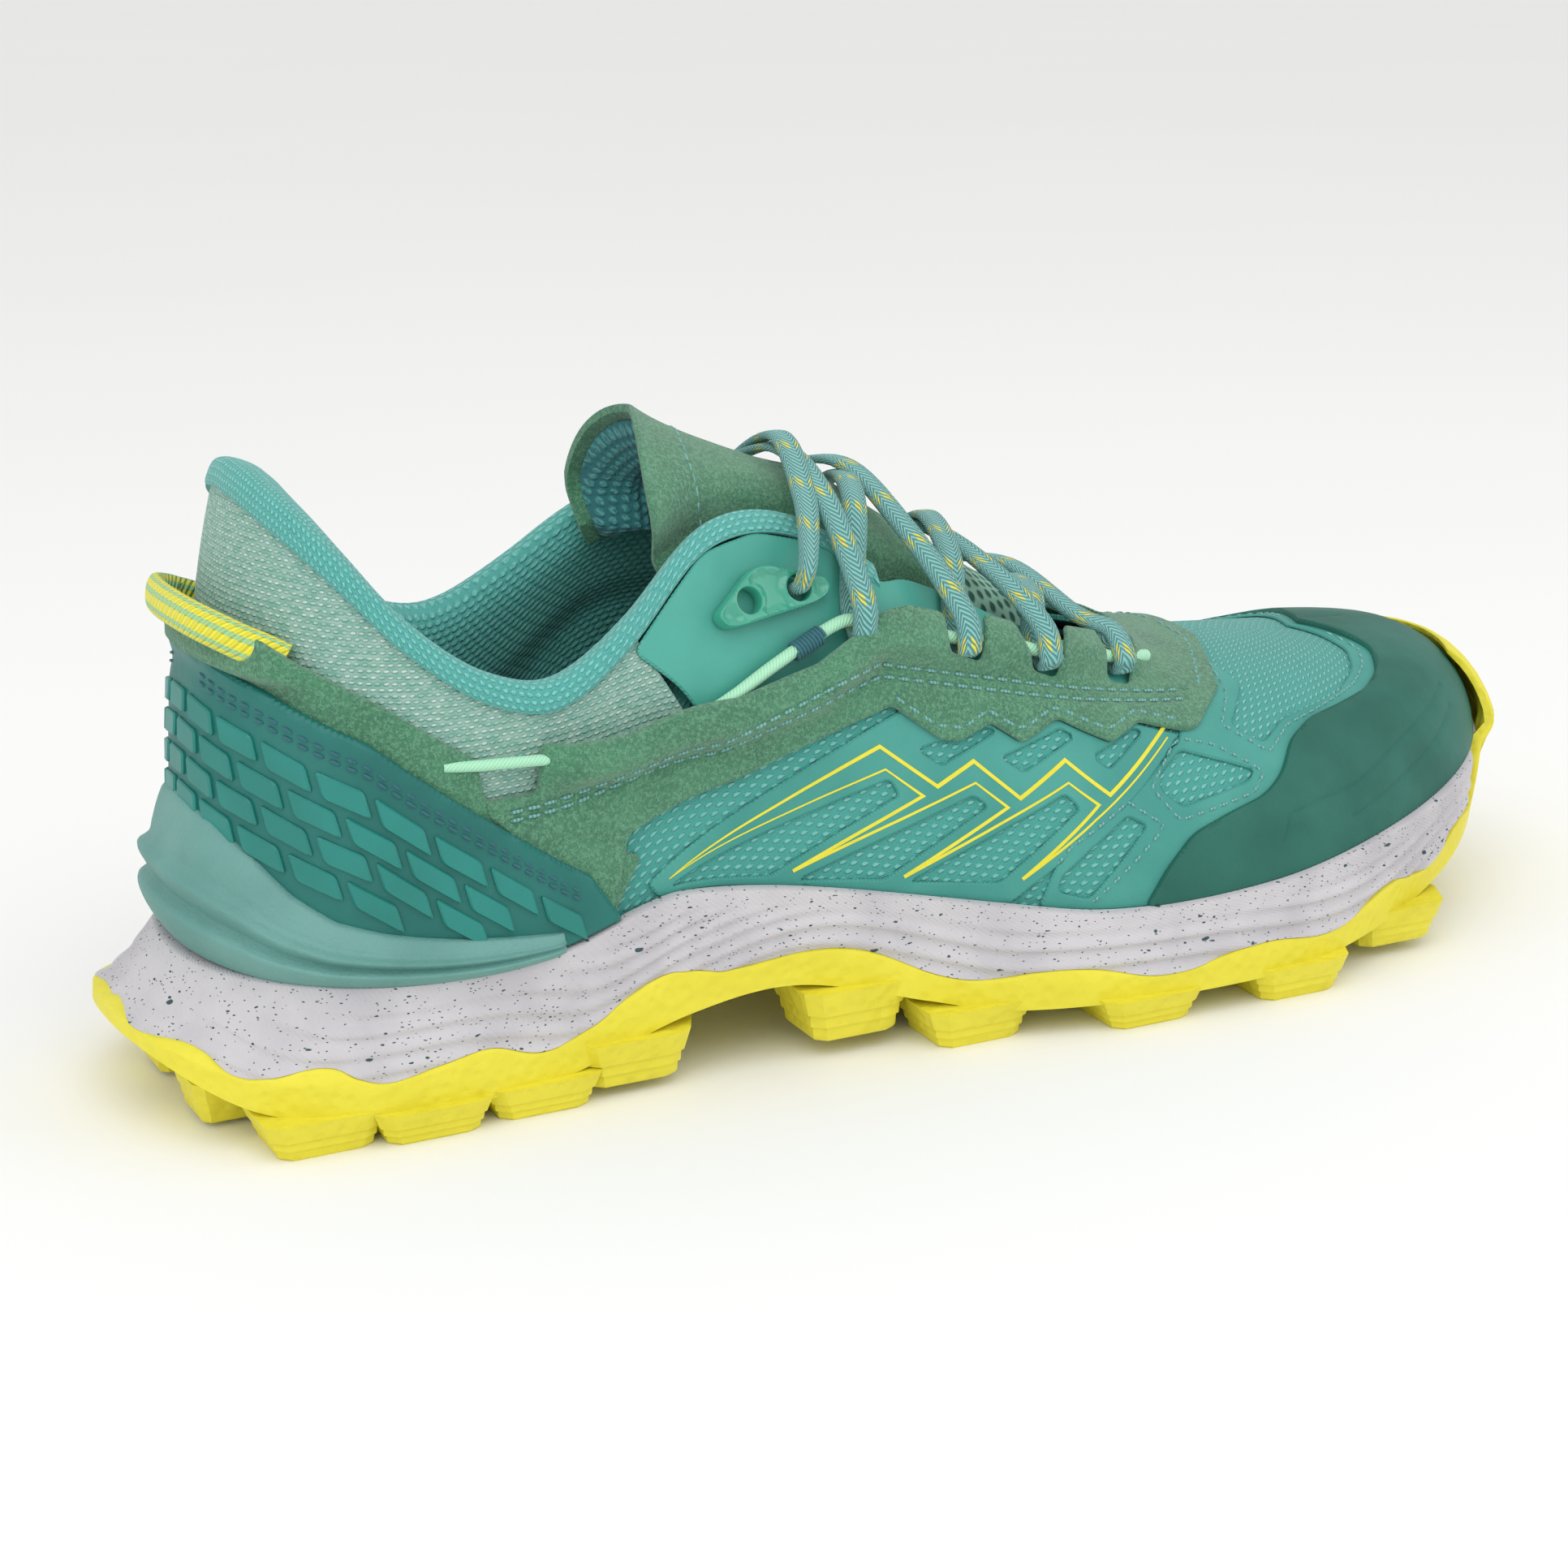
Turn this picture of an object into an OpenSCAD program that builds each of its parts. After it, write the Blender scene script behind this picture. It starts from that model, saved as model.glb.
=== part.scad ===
// Trail running shoe for the right foot, toe towards +X, lateral side towards -Y, standing on z = 0.
// Everything sewn is laid out on one last: a place on it is [s, g], where s goes once round the shoe
// (0 heel, 50 lateral middle, 100 toe, 150 medial middle) and g is the way up the skin in mm.

/* [Sole] */
// Length of the outsole, heel to toe
sole_l = 284; // [270:1:300]
// Depth of the lugs
lug_h = 5; // [3:0.5:6]
// Thickness of the outsole plate
plate_t = 3; // [2.5:0.5:3.5]

/* [Upper] */
// Thickness of woven and knitted skins
cloth_t = 1; // [0.8:0.1:1]
// Thickness of the suede parts
suede_t = 1; // [0.8:0.1:1.2]
// Thickness of the removable footbed
insole_t = 5; // [3:0.5:5.5]
// Thickness of the tongue's foam
tongue_foam = 4; // [2:0.5:5]

/* [Lacing] */
// Width of the flat lace
lace_w = 5.3; // [4:0.1:6]
// Thickness of the flat lace
lace_t = 1.6; // [1.2:0.1:1.8]
// Diameter of the cord that the lace runs round
cord_d = 2.6; // [2:0.1:2.8]
// Diameter of the holes in the eyelet plates
eyelet_d = 4.6; // [4:0.1:5]

/* [Hidden] */

k = sole_l / 284;           // every length along the shoe follows the outsole
gap = 0.3;                  // room between two layers
feather = 6;                // how far the skin starts below the midsole's lip

// ---- Smooth curves through stations -------------------------------------------------------------

function at(t, i) = t[max(0, min(len(t) - 1, i))];
function slope(t, i) = (at(t, i + 1)[1] - at(t, i - 1)[1]) / (at(t, i + 1)[0] - at(t, i - 1)[0]);
// Value at x of the smooth curve through the stations [x, value]
function smooth(t, x) =
    let (c = max(t[0][0], min(t[len(t) - 1][0], x)),
         i = max(0, min(len(t) - 2, len([for (p = t) if (p[0] <= c) 1]) - 1)),
         h = t[i + 1][0] - t[i][0], u = (c - t[i][0]) / h)
    t[i][1] * (2 * u ^ 3 - 3 * u ^ 2 + 1) + slope(t, i) * h * (u ^ 3 - 2 * u ^ 2 + u)
    + t[i + 1][1] * (3 * u ^ 2 - 2 * u ^ 3) + slope(t, i + 1) * h * (u ^ 3 - u ^ 2);
// Rounded end of an outline: 0 at the tip, 1 where the end stops
function cap(d, n) = let (c = max(0, min(1, d))) (1 - (1 - c) ^ n) ^ (1 / n);
function unit(v) = v / max(norm(v), 1e-9);
function mix(a, b, u) = a + (b - a) * u;

// An outline is [back x, front x, heel length, toe length lateral, toe length medial,
// half widths lateral, half widths medial, centre line]
SOLE = [-141, 143, 42, 86, 62,
    [[-141, 39], [-100, 40], [-60, 38], [-20, 39], [20, 49], [60, 53], [100, 51], [143, 49]],
    [[-141, 37], [-100, 38], [-60, 34], [-20, 32], [20, 41], [60, 46], [100, 45], [143, 43]],
    [[-141, 0], [0, 0], [60, 0], [100, 4], [143, 9]]];
LAST = [-122, 140, 38, 78, 60,
    [[-122, 33], [-80, 34], [-40, 34], [0, 38], [40, 46], [80, 48], [140, 46]],
    [[-122, 31], [-80, 32], [-40, 29], [0, 33], [40, 41], [80, 42], [140, 40]],
    [[-122, 0], [0, 0], [60, 0], [100, 4], [140, 9]]];
function medial(s) = (s + 200) % 200 > 100;
function rim_x(o, s) = (o[0] + o[1]) / 2 - (o[1] - o[0]) / 2 * cos(1.8 * s);
function rim(o, s) =
    let (x = rim_x(o, s), w = smooth(medial(s) ? o[6] : o[5], x)
            * cap((x - o[0]) / o[2], 2.3) * cap((o[1] - x) / (medial(s) ? o[4] : o[3]), 2.2))
    [x, smooth(o[7], x) + (medial(s) ? w : -w)];
// Outward direction of an outline at s, level
function rim_out(o, s) = let (d = unit(rim(o, s + 0.3) - rim(o, s - 0.3))) [d[1], -d[0]];

// Heights along the shoe: the plate's underside, the lug faces, the midsole's lip
PLATE_Z = [[-141, 16], [-125, 7], [-105, 5], [-75, 5], [-50, 12], [-30, 14], [-5, 8], [10, 5],
    [60, 5], [90, 7.5], [115, 12], [130, 16.5], [143, 22]];
FACE_Z = [[-141, 9], [-128, 2], [-118, 0], [-70, 0], [-50, 5], [-30, 8], [-12, 1], [0, 0], [70, 0],
    [90, 1.5], [115, 6], [130, 10.5], [143, 16]];
LIP_Z = [[-141, 38], [-110, 31], [-75, 30.5], [-50, 34.5], [-30, 32.5], [10, 24.5], [30, 21.5],
    [60, 22.5], [90, 26.5], [120, 31], [143, 35]];

// The last: the skin rises from the feather line to a spine down the middle
SPINE_X = [[-122, -78], [-90, -66], [-60, -48], [0, 2], [60, 60], [100, 92], [140, 116]];
SPINE_Z = [[-78, 150], [-60, 132], [-48, 117], [-38, 109], [-20, 101], [-7, 96.5], [6, 88], [27, 75],
    [45, 63.5], [60, 58.5], [75, 56], [97, 53], [116, 51]];
BOXY = [[-122, 2.6], [-60, 2.7], [0, 2.3], [60, 2.3], [100, 2.5], [140, 3.4]];

// A station of the last: [foot, spine, boxiness, outward at foot, outward at spine, [g, angle] table]
function profile(f, r, p, a) =
    let (v = sin(a), h = 1 - sqrt(max(0, 1 - v ^ p))) [mix(f[0], r[0], h), mix(f[1], r[1], h),
        mix(f[2], r[2], v)];
function running(ps, i = 1, sum = [0]) =
    i == len(ps) ? sum : running(ps, i + 1, concat(sum, [sum[i - 1] + norm(ps[i] - ps[i - 1])]));
steps = 18;
function station(s) =
    let (f2 = rim(LAST, s), xr = smooth(SPINE_X, f2[0]),
         f = [f2[0], f2[1], smooth(LIP_Z, f2[0]) - feather], r = [xr, smooth(LAST[7], xr),
             smooth(SPINE_Z, xr)],
         p = smooth(BOXY, f2[0]), ps = [for (i = [0:steps]) profile(f, r, p, 90 * i / steps)],
         g = running(ps), e = unit([f[0] - r[0], f[1] - r[1]]))
    [f, r, p, rim_out(LAST, s), e, [for (i = [0:steps]) [g[i], 90 * i / steps]]];
function girth(st) = st[5][steps][0];
// The point on a station at g, lifted off the last by d
function on(st, g, d) =
    let (a = lookup(g, st[5]), c = profile(st[0], st[1], st[2], a), a0 = max(0, a - 1), a1 = min(90,
        a + 1),
         t = profile(st[0], st[1], st[2], a1) - profile(st[0], st[1], st[2], a0),
         run = norm([t[0], t[1]]), o = unit(mix(st[3], st[4], 1 - sqrt(max(0, 1 - sin(a) ^ st[2])))))
    [c[0] * k, c[1], c[2]] + d * unit([o[0] * t[2], o[1] * t[2], run]);
function skin(s, g, d) = on(station(s), g, d);

// ---- Solids from sheets of points -----------------------------------------------------------------

// Two triangles for the corners a, b, c, d
function quad(a, b, c, d) = [[a, b, c], [a, c, d]];
// A layer's rows at one station are [[g, d inner, g, d outer], ...]; plain() makes level ones
function plain(lo, hi, d0, d1, n) = [for (j = [0:n]) let (g = mix(lo, hi, j / n)) [g, d0, g, d1]];
function flat(l) = [for (a = l, b = a) b];

// Closed wall whose columns are the stations of ss and whose rows are rows[i]
module wall(ss, rows) {
    n = len(ss);
    m = len(rows[0]);
    sts = [for (s = ss) station(s)];
    pts = concat(flat([for (i = [0:n - 1]) [for (w = rows[i]) on(sts[i], w[0], w[1])]]),
        flat([for (i = [0:n - 1]) [for (w = rows[i]) on(sts[i], w[2], w[3])]]));
    function a(i, j) = i * m + j;
    function b(i, j) = n * m + i * m + j;
    polyhedron(pts, flat(concat(
        [for (i = [0:n - 2], j = [0:m - 2]) quad(b(i, j), b(i, j + 1), b(i + 1, j + 1), b(i + 1, j))],
        [for (i = [0:n - 2], j = [0:m - 2]) quad(a(i, j), a(i + 1, j), a(i + 1, j + 1), a(i, j + 1))],
        [for (i = [0:n - 2]) quad(a(i, 0), b(i, 0), b(i + 1, 0), a(i + 1, 0))],
        [for (i = [0:n - 2]) quad(a(i, m - 1), a(i + 1, m - 1), b(i + 1, m - 1), b(i, m - 1))],
        [for (j = [0:m - 2]) quad(a(0, j), a(0, j + 1), b(0, j + 1), b(0, j))],
        [for (j = [0:m - 2]) quad(a(n - 1, j), b(n - 1, j), b(n - 1, j + 1), a(n - 1, j + 1))])));
}

// Wall on both sides of the shoe at once. ss runs towards the toe on the lateral side, and the medial
// side mirrors it. From zip on, the two halves meet at the spine; at s = 100 they close round the toe.
module saddle(ss, lat, med, zip = 101) {
    n = len(ss);
    m = len(lat[0]);
    w = 2 * m;
    toe = ss[n - 1] == 100;
    sl = [for (s = ss) station(s)];
    sm = [for (s = ss) station(200 - s)];
    function row(i, j) = j < m ? lat[i][j] : med[i][w - 1 - j];
    function pt(i, j, o) = let (r = row(i, j)) on(j < m ? sl[i] : sm[i], r[2 * o], r[2 * o + 1]);
    function id(i, j) = toe && i == n - 1 && j >= m ? i * w + w - 1 - j
        : j == m && ss[i] >= zip ? i * w + m - 1 : i * w + j;
    function a(i, j) = id(i, j);
    function b(i, j) = n * w + id(i, j);
    pts = concat([for (i = [0:n - 1], j = [0:w - 1]) pt(i, j, 0)], [for (i = [0:n - 1],
        j = [0:w - 1]) pt(i, j, 1)]);
    rows = [for (j = [0:w - 2]) if (j != m - 1) j];
    open = [for (i = [0:n - 2]) if (ss[i] < zip || ss[i + 1] < zip) i];
    tris = flat(concat(
        [for (i = [0:n - 2], j = rows) quad(b(i, j), b(i, j + 1), b(i + 1, j + 1), b(i + 1, j))],
        [for (i = [0:n - 2], j = rows) quad(a(i, j), a(i + 1, j), a(i + 1, j + 1), a(i, j + 1))],
        [for (i = [0:n - 2]) quad(a(i, 0), b(i, 0), b(i + 1, 0), a(i + 1, 0))],
        [for (i = [0:n - 2]) quad(a(i, w - 1), a(i + 1, w - 1), b(i + 1, w - 1), b(i, w - 1))],
        [for (i = open) quad(a(i, m - 1), a(i + 1, m - 1), b(i + 1, m - 1), b(i, m - 1))],
        [for (i = open) quad(a(i, m), b(i, m), b(i + 1, m), a(i + 1, m))],
        [for (j = rows) quad(a(0, j), a(0, j + 1), b(0, j + 1), b(0, j))],
        toe ? [] : [for (j = rows) quad(a(n - 1, j), b(n - 1, j), b(n - 1, j + 1), a(n - 1, j + 1))]));
    polyhedron(pts, [for (t = tris) if (t[0] != t[1] && t[1] != t[2] && t[0] != t[2]) t]);
}

// Solid through a stack of closed rings; ring points i and len - i lie across from each other
module stack(rings) {
    n = len(rings[0]);
    top = (len(rings) - 1) * n;
    half = n / 2;
    polyhedron(flat(rings), flat(concat(
        [for (r = [0:len(rings) - 2], i = [0:n - 1]) let (j = (i + 1) % n)
            quad(r * n + i, (r + 1) * n + i, (r + 1) * n + j, r * n + j)],
        [for (i = [1:half - 2]) quad(i, i + 1, n - i - 1, n - i)],
        [[[0, 1, n - 1], [half, n - half + 1, half - 1]]],
        [for (i = [1:half - 2]) quad(top + i, top + n - i, top + n - i - 1, top + i + 1)],
        [[[top, top + n - 1, top + 1], [top + half, top + half - 1, top + half + 1]]])));
}
ring_n = 72;
// A ring at part u of the way from the sole's outline to the last's, moved out, at the height h(s, x)
function side_ring(u, out, h) = [for (i = [0:ring_n - 1])
    let (s = 200 * i / ring_n, p = mix(rim(SOLE, s), rim(LAST, s), u),
         q = p + out * unit(mix(rim_out(SOLE, s), rim_out(LAST, s), u))) [q[0] * k, q[1], h(s, p[0])]];

// Flat or round band along rings of [point, up direction, width, thickness], n sides
module strap(rings, n = 8) {
    m = len(rings);
    pts = flat([for (i = [0:m - 1]) let (r = rings[i], d = unit(rings[min(m - 1,
        i + 1)][0] - rings[max(0, i - 1)][0]),
        side = unit(cross(r[1], d)), up = cross(d, side))
        [for (c = oval(r[2], r[3], n)) r[0] + side * c[0] + up * c[1]]]);
    polyhedron(pts, concat(
        flat([for (i = [0:m - 2], j = [0:n - 1]) let (l = (j + 1) % n)
            quad(i * n + j, (i + 1) * n + j, (i + 1) * n + l, i * n + l)]),
        [[for (j = [0:n - 1]) j]], [[for (j = [n - 1:-1:0]) (m - 1) * n + j]]));
}
function oval(w, h, n) = [for (i = [0:n - 1]) let (a = 360 * (i + 0.5) / n) [w / 2 * cos(a),
    h / 2 * sin(a)]];

// ---- Outlines on the last: [s, g] stations, lateral side ------------------------------------------

TOPLINE = [[0, 80], [4, 79], [10, 75], [15, 68.5], [20, 58.5], [25, 49.5], [29, 46.6], [33, 52.5],
    [37, 65], [40, 69.5], [43, 69], [46, 62.5]];
COUNTER_TOP = [[0, 52], [10, 48.5], [17, 42], [25, 28], [30, 15], [32, 6]];
CRADLE_TOP = [[0, 26], [5, 24.5], [9, 21], [12, 16], [15, 12.5], [18, 11], [28, 7], [32, 6]];
BAND_TOP = [[0, 60], [8.5, 58], [10, 55], [18, 48], [24, 38.5], [26, 37]];
STAY_LOW = [[25, 24], [31.5, 5.5], [32.3, 18.5], [38, 24.5], [45.5, 38.8], [48.2, 33.7], [50.2, 37.6],
    [51.6, 34.7], [53.5, 39.6], [56, 35], [57.7, 38.2], [60.2, 34.8], [62, 38.5], [65, 44]];
STAY_TOP = [[25, 29], [27.5, 29], [27.7, 39], [32.5, 36.5], [38, 38], [42, 43], [45.4, 47.5], [45.7,
    54.5], [46.8, 55.5],
    [48.5, 55], [48.8, 47], [50.3, 47], [50.6, 55.5], [52.4, 55], [52.7, 46.5], [54.6, 46.5], [54.9, 55],
    [57, 54.5], [57.3, 46], [58.8, 46], [59.1, 56], [61, 60]];
THROAT = [[31, 26], [36.4, 26.5], [37, 35], [38, 36], [45, 52], [58, 52], [62, 60]];
FACING_LOW = [[33, 48], [36.6, 38], [38, 34], [45, 44], [58, 48]];
FACING_TOP = [[33, 49], [37, 61], [40, 65.4], [43, 64.9], [46, 58.5], [47.5, 62], [50, 61], [53, 57.5],
    [58, 54]];
CAP_TOP = [[57, 7.5], [58, 14.6], [59.6, 18.5], [63, 19.5], [64.7, 21.7], [66.7, 28], [70, 29], [75.7,
    27],
    [78, 29], [81, 34], [83, 60]];
TOE_BAND_TOP = [[59, 32], [63, 34], [66, 28], [72, 33], [80, 30], [100, 24]];
// How much foam the collar holds, 1 round the heel and little along the facing
FOAM = [[0, 1], [28, 1], [37, 0.35], [46, 0.3]];

// Layers, as distances off the last: inner face and outer face
LINING = [-2.4, -2.4 + cloth_t];
FOAMED = [-1.1, -0.2];
PUFF = [-1.1, -0.6];
SKIN = [0.1, 0.1 + cloth_t];
FILM = [1.4, 1.8];
SUEDE = [2, 2 + suede_t];
CAP = [2.3, 2.98];
TPU = [3.3, 4.3];
cradle_in = 4.6;

// Columns shared by the layers of the front of the shoe, so that their faces run side by side
FORE = [for (i = [0:14]) 65 + 2.5 * i];
// The lowest g that is clear above the midsole
function sole_g(s) = let (x = rim_x(LAST, abs(s))) max(2, feather + gap + smooth(MID_TOP,
    x) - smooth(LIP_Z, x));
function span(a, b, n) = [for (i = [0:n]) mix(a, b, i / n)];
// A level band on each station between the tables lo and hi
function band(ss, lo, hi, layer, n) =
    [for (s = ss) plain(lookup(abs(s), lo), lookup(abs(s), hi), layer[0], layer[1], n)];
// The same, but up to the spine from the station zip on
function band_to_spine(ss, lo, hi, layer, n, zip, side) = [for (s = ss)
    let (top = girth(station(side > 0 ? s : 200 - s)))
    plain(lookup(s, lo), s >= zip ? top : min(lookup(s, hi), top - 1), layer[0], layer[1], n)];
// Draws on the lateral side, or mirrored on the medial one, where s runs backwards
module on_side(side, ss, rows) {
    n = len(ss);
    wall(side > 0 ? ss : [for (i = [n - 1:-1:0]) 200 - ss[i]],
        side > 0 ? rows : [for (i = [n - 1:-1:0]) rows[i]]);
}

// ---- Sole -------------------------------------------------------------------------------------------

MID_TOP = [[-141, 28], [-90, 27], [-72, 28.5], [-58, 33], [-50, 34.5], [-30, 32.5], [10, 24.5], [30,
    21.5],
    [60, 22.5], [90, 26.5], [120, 31], [143, 35]];
BLEND = [[0, 0], [0.3, 0.12], [0.6, 0.5], [1, 1], [1.3, 1.1]];
FLARE = [[0, 0], [0.3, 1], [0.6, 2.6], [1, 4.4], [1.3, 4.2]];
function ring_s(s) = s > 100 ? 200 - s : s;
function heelness(s) = max(0, 1 - (ring_s(s) / 31) ^ 2);
function toeness(s) = max(0, min(1, (ring_s(s) - 91) / 4));
// How far up the side the rubber climbs: scallops over the lugs, and at the toe past the lip, which is 1
function climb(s) = mix(0.36 + 0.07 * cos(360 * s / 9), 2, toeness(s));
bumper_g = 19;
function flare(s, t) = lookup(t, FLARE) + 3.5 * t * heelness(s);
bumper_lift = 7.7;
// Point on the sole's side at part t of its height, moved out by more; past 1 it goes up the toe cap
function side(s, t, more) =
    let (u = lookup(t, BLEND), p = mix(rim(SOLE, s), rim(LAST, s), u),
         q = p + (flare(s, t) + more) * unit(mix(rim_out(SOLE, s), rim_out(LAST, s), u)))
    t > 1 ? skin(s, mix(feather, bumper_g, t - 1), bumper_lift + more)
    : [q[0] * k, q[1], mix(smooth(PLATE_Z, p[0]), smooth(MID_TOP, p[0]), t)];
function at_height(t, more) = [for (i = [0:ring_n - 1]) let (s = 200 * i / ring_n) side(s, t(s),
    more(s))];
wall_t = 1.9;

module lug(x, y, l, w, turn) {
    foot = max(0, smooth(FACE_Z, x) + 5 - lug_h);
    root = smooth(PLATE_Z, x) + 1.5;
    module block(grow) linear_extrude(0.2) scale(grow)
        polygon([[-l / 2, -w / 2], [l / 2, -w / 2], [l / 2 + 2, 0], [l / 2, w / 2], [-l / 2, w / 2]]);
    hull() {
        translate([x * k, y, foot]) rotate(turn) block(1);
        translate([x * k, y, root]) rotate(turn) block(1.3);
    }
}
// A row of lugs at the stations xs, at part f of the half width from the centre line
module lug_row(xs, f, l, w, turn) for (x = xs)
    lug(x, smooth(SOLE[7], x) + f * (smooth(f < 0 ? SOLE[5] : SOLE[6], x) * cap((x + 141) / 42, 2.3)
        * cap((143 - x) / (f < 0 ? 86 : 62), 2.2) - w * 0.62), l, w, turn);

module outsole() color("#e8db3f") {
    // Where the plate's outer and inner walls start, as parts of the side's height
    edge = 0.06;
    root = 0.12;
    rows = [0, 0.5, 0.75, 1];
    stack(concat(
        [side_ring(0, -2.5, function (s, x) smooth(PLATE_Z, x))],
        [for (u = rows) at_height(function (s) mix(edge, climb(s), u), function (s) 0)],
        [for (u = back(rows)) at_height(function (s) mix(root, climb(s), u), function (s) -wall_t)],
        [side_ring(0, -wall_t - 1, function (s, x) smooth(PLATE_Z, x) + plate_t)]));
    lug_row([-115, -97, -77, -60, -18, 4, 36, 68, 97], -1, 11, 14, 0);
    lug_row([-113, -94, -75, -58, -14, 12, 42, 72, 98], 1, 11, 14, 0);
    lug_row([-6, 16, 38, 60, 82, 104], -0.32, 10, 12, 0);
    lug_row([-6, 16, 38, 60, 82, 104], 0.32, 10, 12, 0);
    lug_row([-84, -66], 0, 10, 12, 0);
    lug_row([-125, 122], -0.5, 9, 12, 0);
    lug_row([-125, 122], 0.5, 9, 12, 0);
}

module midsole() color("#c9c5cc") {
    low = function (s) min(climb(s), 0.9);
    foam_root = 0.3;
    // The foam stands back where the rubber covers it, all of the way up before the rubber climbs the toe
    room = wall_t + 4.5 * gap;
    under = function (s) -room * max(0, min(1, (ring_s(s) - 86) / 4));
    stack(concat(
        [side_ring(0, -wall_t - 2, function (s, x) smooth(PLATE_Z, x) + plate_t + 2 * gap)],
        [at_height(function (s) foam_root, function (s) -room)],
        [at_height(function (s) low(s) + 0.02, function (s) -room)],
        [for (j = [0:4]) at_height(function (s) mix(low(s) + 0.03, 0.97, j / 4), under)],
        [at_height(function (s) 1, function (s) under(s) - 0.8)],
        [side_ring(1, 1.5, function (s, x) smooth(MID_TOP, x))],
        [side_ring(1, 1.4, function (s, x) smooth(LIP_Z, x) - feather - 1.8)]));
}

module heel_cradle() color("#6fa39c") {
    ss = span(-28, 28, 22);
    // Section from the midsole up: part of the height, bulge outwards round the heel
    shape = [[0, 3.2], [0.2, 4.4], [0.35, 3], [0.5, 3.8], [0.7, 2.2], [1, 0.4]];
    wall(ss, [for (s = ss) let (lo = sole_g(s), hi = max(lookup(abs(s), CRADLE_TOP), lo + 1))
        [for (p = shape) let (g = mix(lo, hi, p[0])) [g, cradle_in, g,
            cradle_in + 0.6 + p[1] * heelness(s)]]]);
}

function floor_ring(inset, dz) =
    side_ring(1, -inset, function (s, x) smooth(LIP_Z, x) - feather + dz);
module strobel_board() color("#d8d4c4") stack([floor_ring(2.8, -1.6), floor_ring(2.8, -0.2)]);
module insole() color("#2c3436") stack([floor_ring(5, 0.1), floor_ring(4.4, 1.2), floor_ring(4.4,
    insole_t - 1),
    floor_ring(6, insole_t)]);

// ---- Shell of the upper -------------------------------------------------------------------------------

module heel_stiffener() color("#e6e2d8") {
    ss = span(-28, 28, 20);
    wall(ss, [for (s = ss) plain(1, min(lookup(abs(s), COUNTER_TOP) - 3, lookup(abs(s), TOPLINE) - 28),
        FOAMED[0], FOAMED[1], 3)]);
}
module toe_puff() color("#e6e2d8") {
    ss = [for (s = FORE) if (s > 76) s];
    rows = [for (s = ss) plain(1, 22, PUFF[0], PUFF[1], 4)];
    saddle(ss, rows, rows);
}
module vamp_lining() color("#2b5f5c") {
    ss = concat(span(46.6, 62, 8), FORE);
    top = [[46.6, 56], [50, 60], [53, 56.5], [58, 53], [62, 60]];
    saddle(ss, band_to_spine(ss, [[0, 0.5]], top, LINING, 6, 62, 1),
        band_to_spine(ss, [[0, 0.5]], top, LINING, 6, 62, -1), 62);
}

// The collar's section: a hook that runs up inside, over the foam and down outside, [inner, outer] points
function hook(s) =
    let (t = lookup(abs(s), TOPLINE), f = lookup(abs(s), FOAM), bulge = -2.4 - 5.4 * f)
    [[0.5, -2.4, 0.5, -1.4], [t - 30, -2.4, t - 30, -1.4], [t - 23, bulge + 2, t - 23, bulge + 2.9],
     [t - 16, bulge, t - 16, bulge + 0.9], [t - 5, bulge - 0.3, t - 5, bulge + 0.7],
     [t + 0.8, bulge + 1.6, t + 0.2, bulge + 2.2], [t + 2.2, -2, t + 1.1, -2], [t + 1.8, 1.6, t + 0.9,
         1.35],
     [t - 3, 2.3, t - 3, 1.35]];
function foam_rows(s) =
    let (t = lookup(abs(s), TOPLINE), f = lookup(abs(s), FOAM), bulge = -1.1 - 5.4 * f)
    [[t - 26, -1.1, t - 26, -0.2], [t - 22, bulge + 2.4, t - 22, -0.2], [t - 15.5, bulge, t - 15.5, -0.2],
     [t - 5, bulge, t - 5, -0.2], [t - 0.6, bulge + 2, t - 0.6, -0.2]];
module lace_holes() for (side = [1, -1]) on_plate(side) translate([lace_hole[0], lace_hole[1], -12])
    cylinder(h = 24, d = eyelet_d, $fn = 48);
module collar_lining() color("#6dbdb5") {
    ss = span(-46, 46, 36);
    difference() {
        wall(ss, [for (s = ss) hook(s)]);
        lace_holes();
    }
}
module collar_padding() color("#f0e6c8") {
    ss = span(-46, 46, 36);
    difference() {
        wall(ss, [for (s = ss) foam_rows(s)]);
        lace_holes();
    }
}
module collar_knit() color("#a3c6b8") {
    ss = concat(span(-36, -31, 3), span(-30, 30, 28), span(31, 36, 3));
    wall(ss, [for (s = ss) plain(abs(s) < 30.5 ? 0.5 : 27, lookup(abs(s), TOPLINE) - 0.4, SKIN[0],
        SKIN[1], 4)]);
}
module mesh_upper() color("#5fb5ae") {
    ss = concat([31.4, 33.8, 36.2], span(37, 62, 13), FORE);
    saddle(ss, band_to_spine(ss, [[0, 0.5]], THROAT, SKIN, 7, 62, 1),
        band_to_spine(ss, [[0, 0.5]], THROAT, SKIN, 7, 62, -1), 62);
}

// ---- Overlays -----------------------------------------------------------------------------------------

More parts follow.
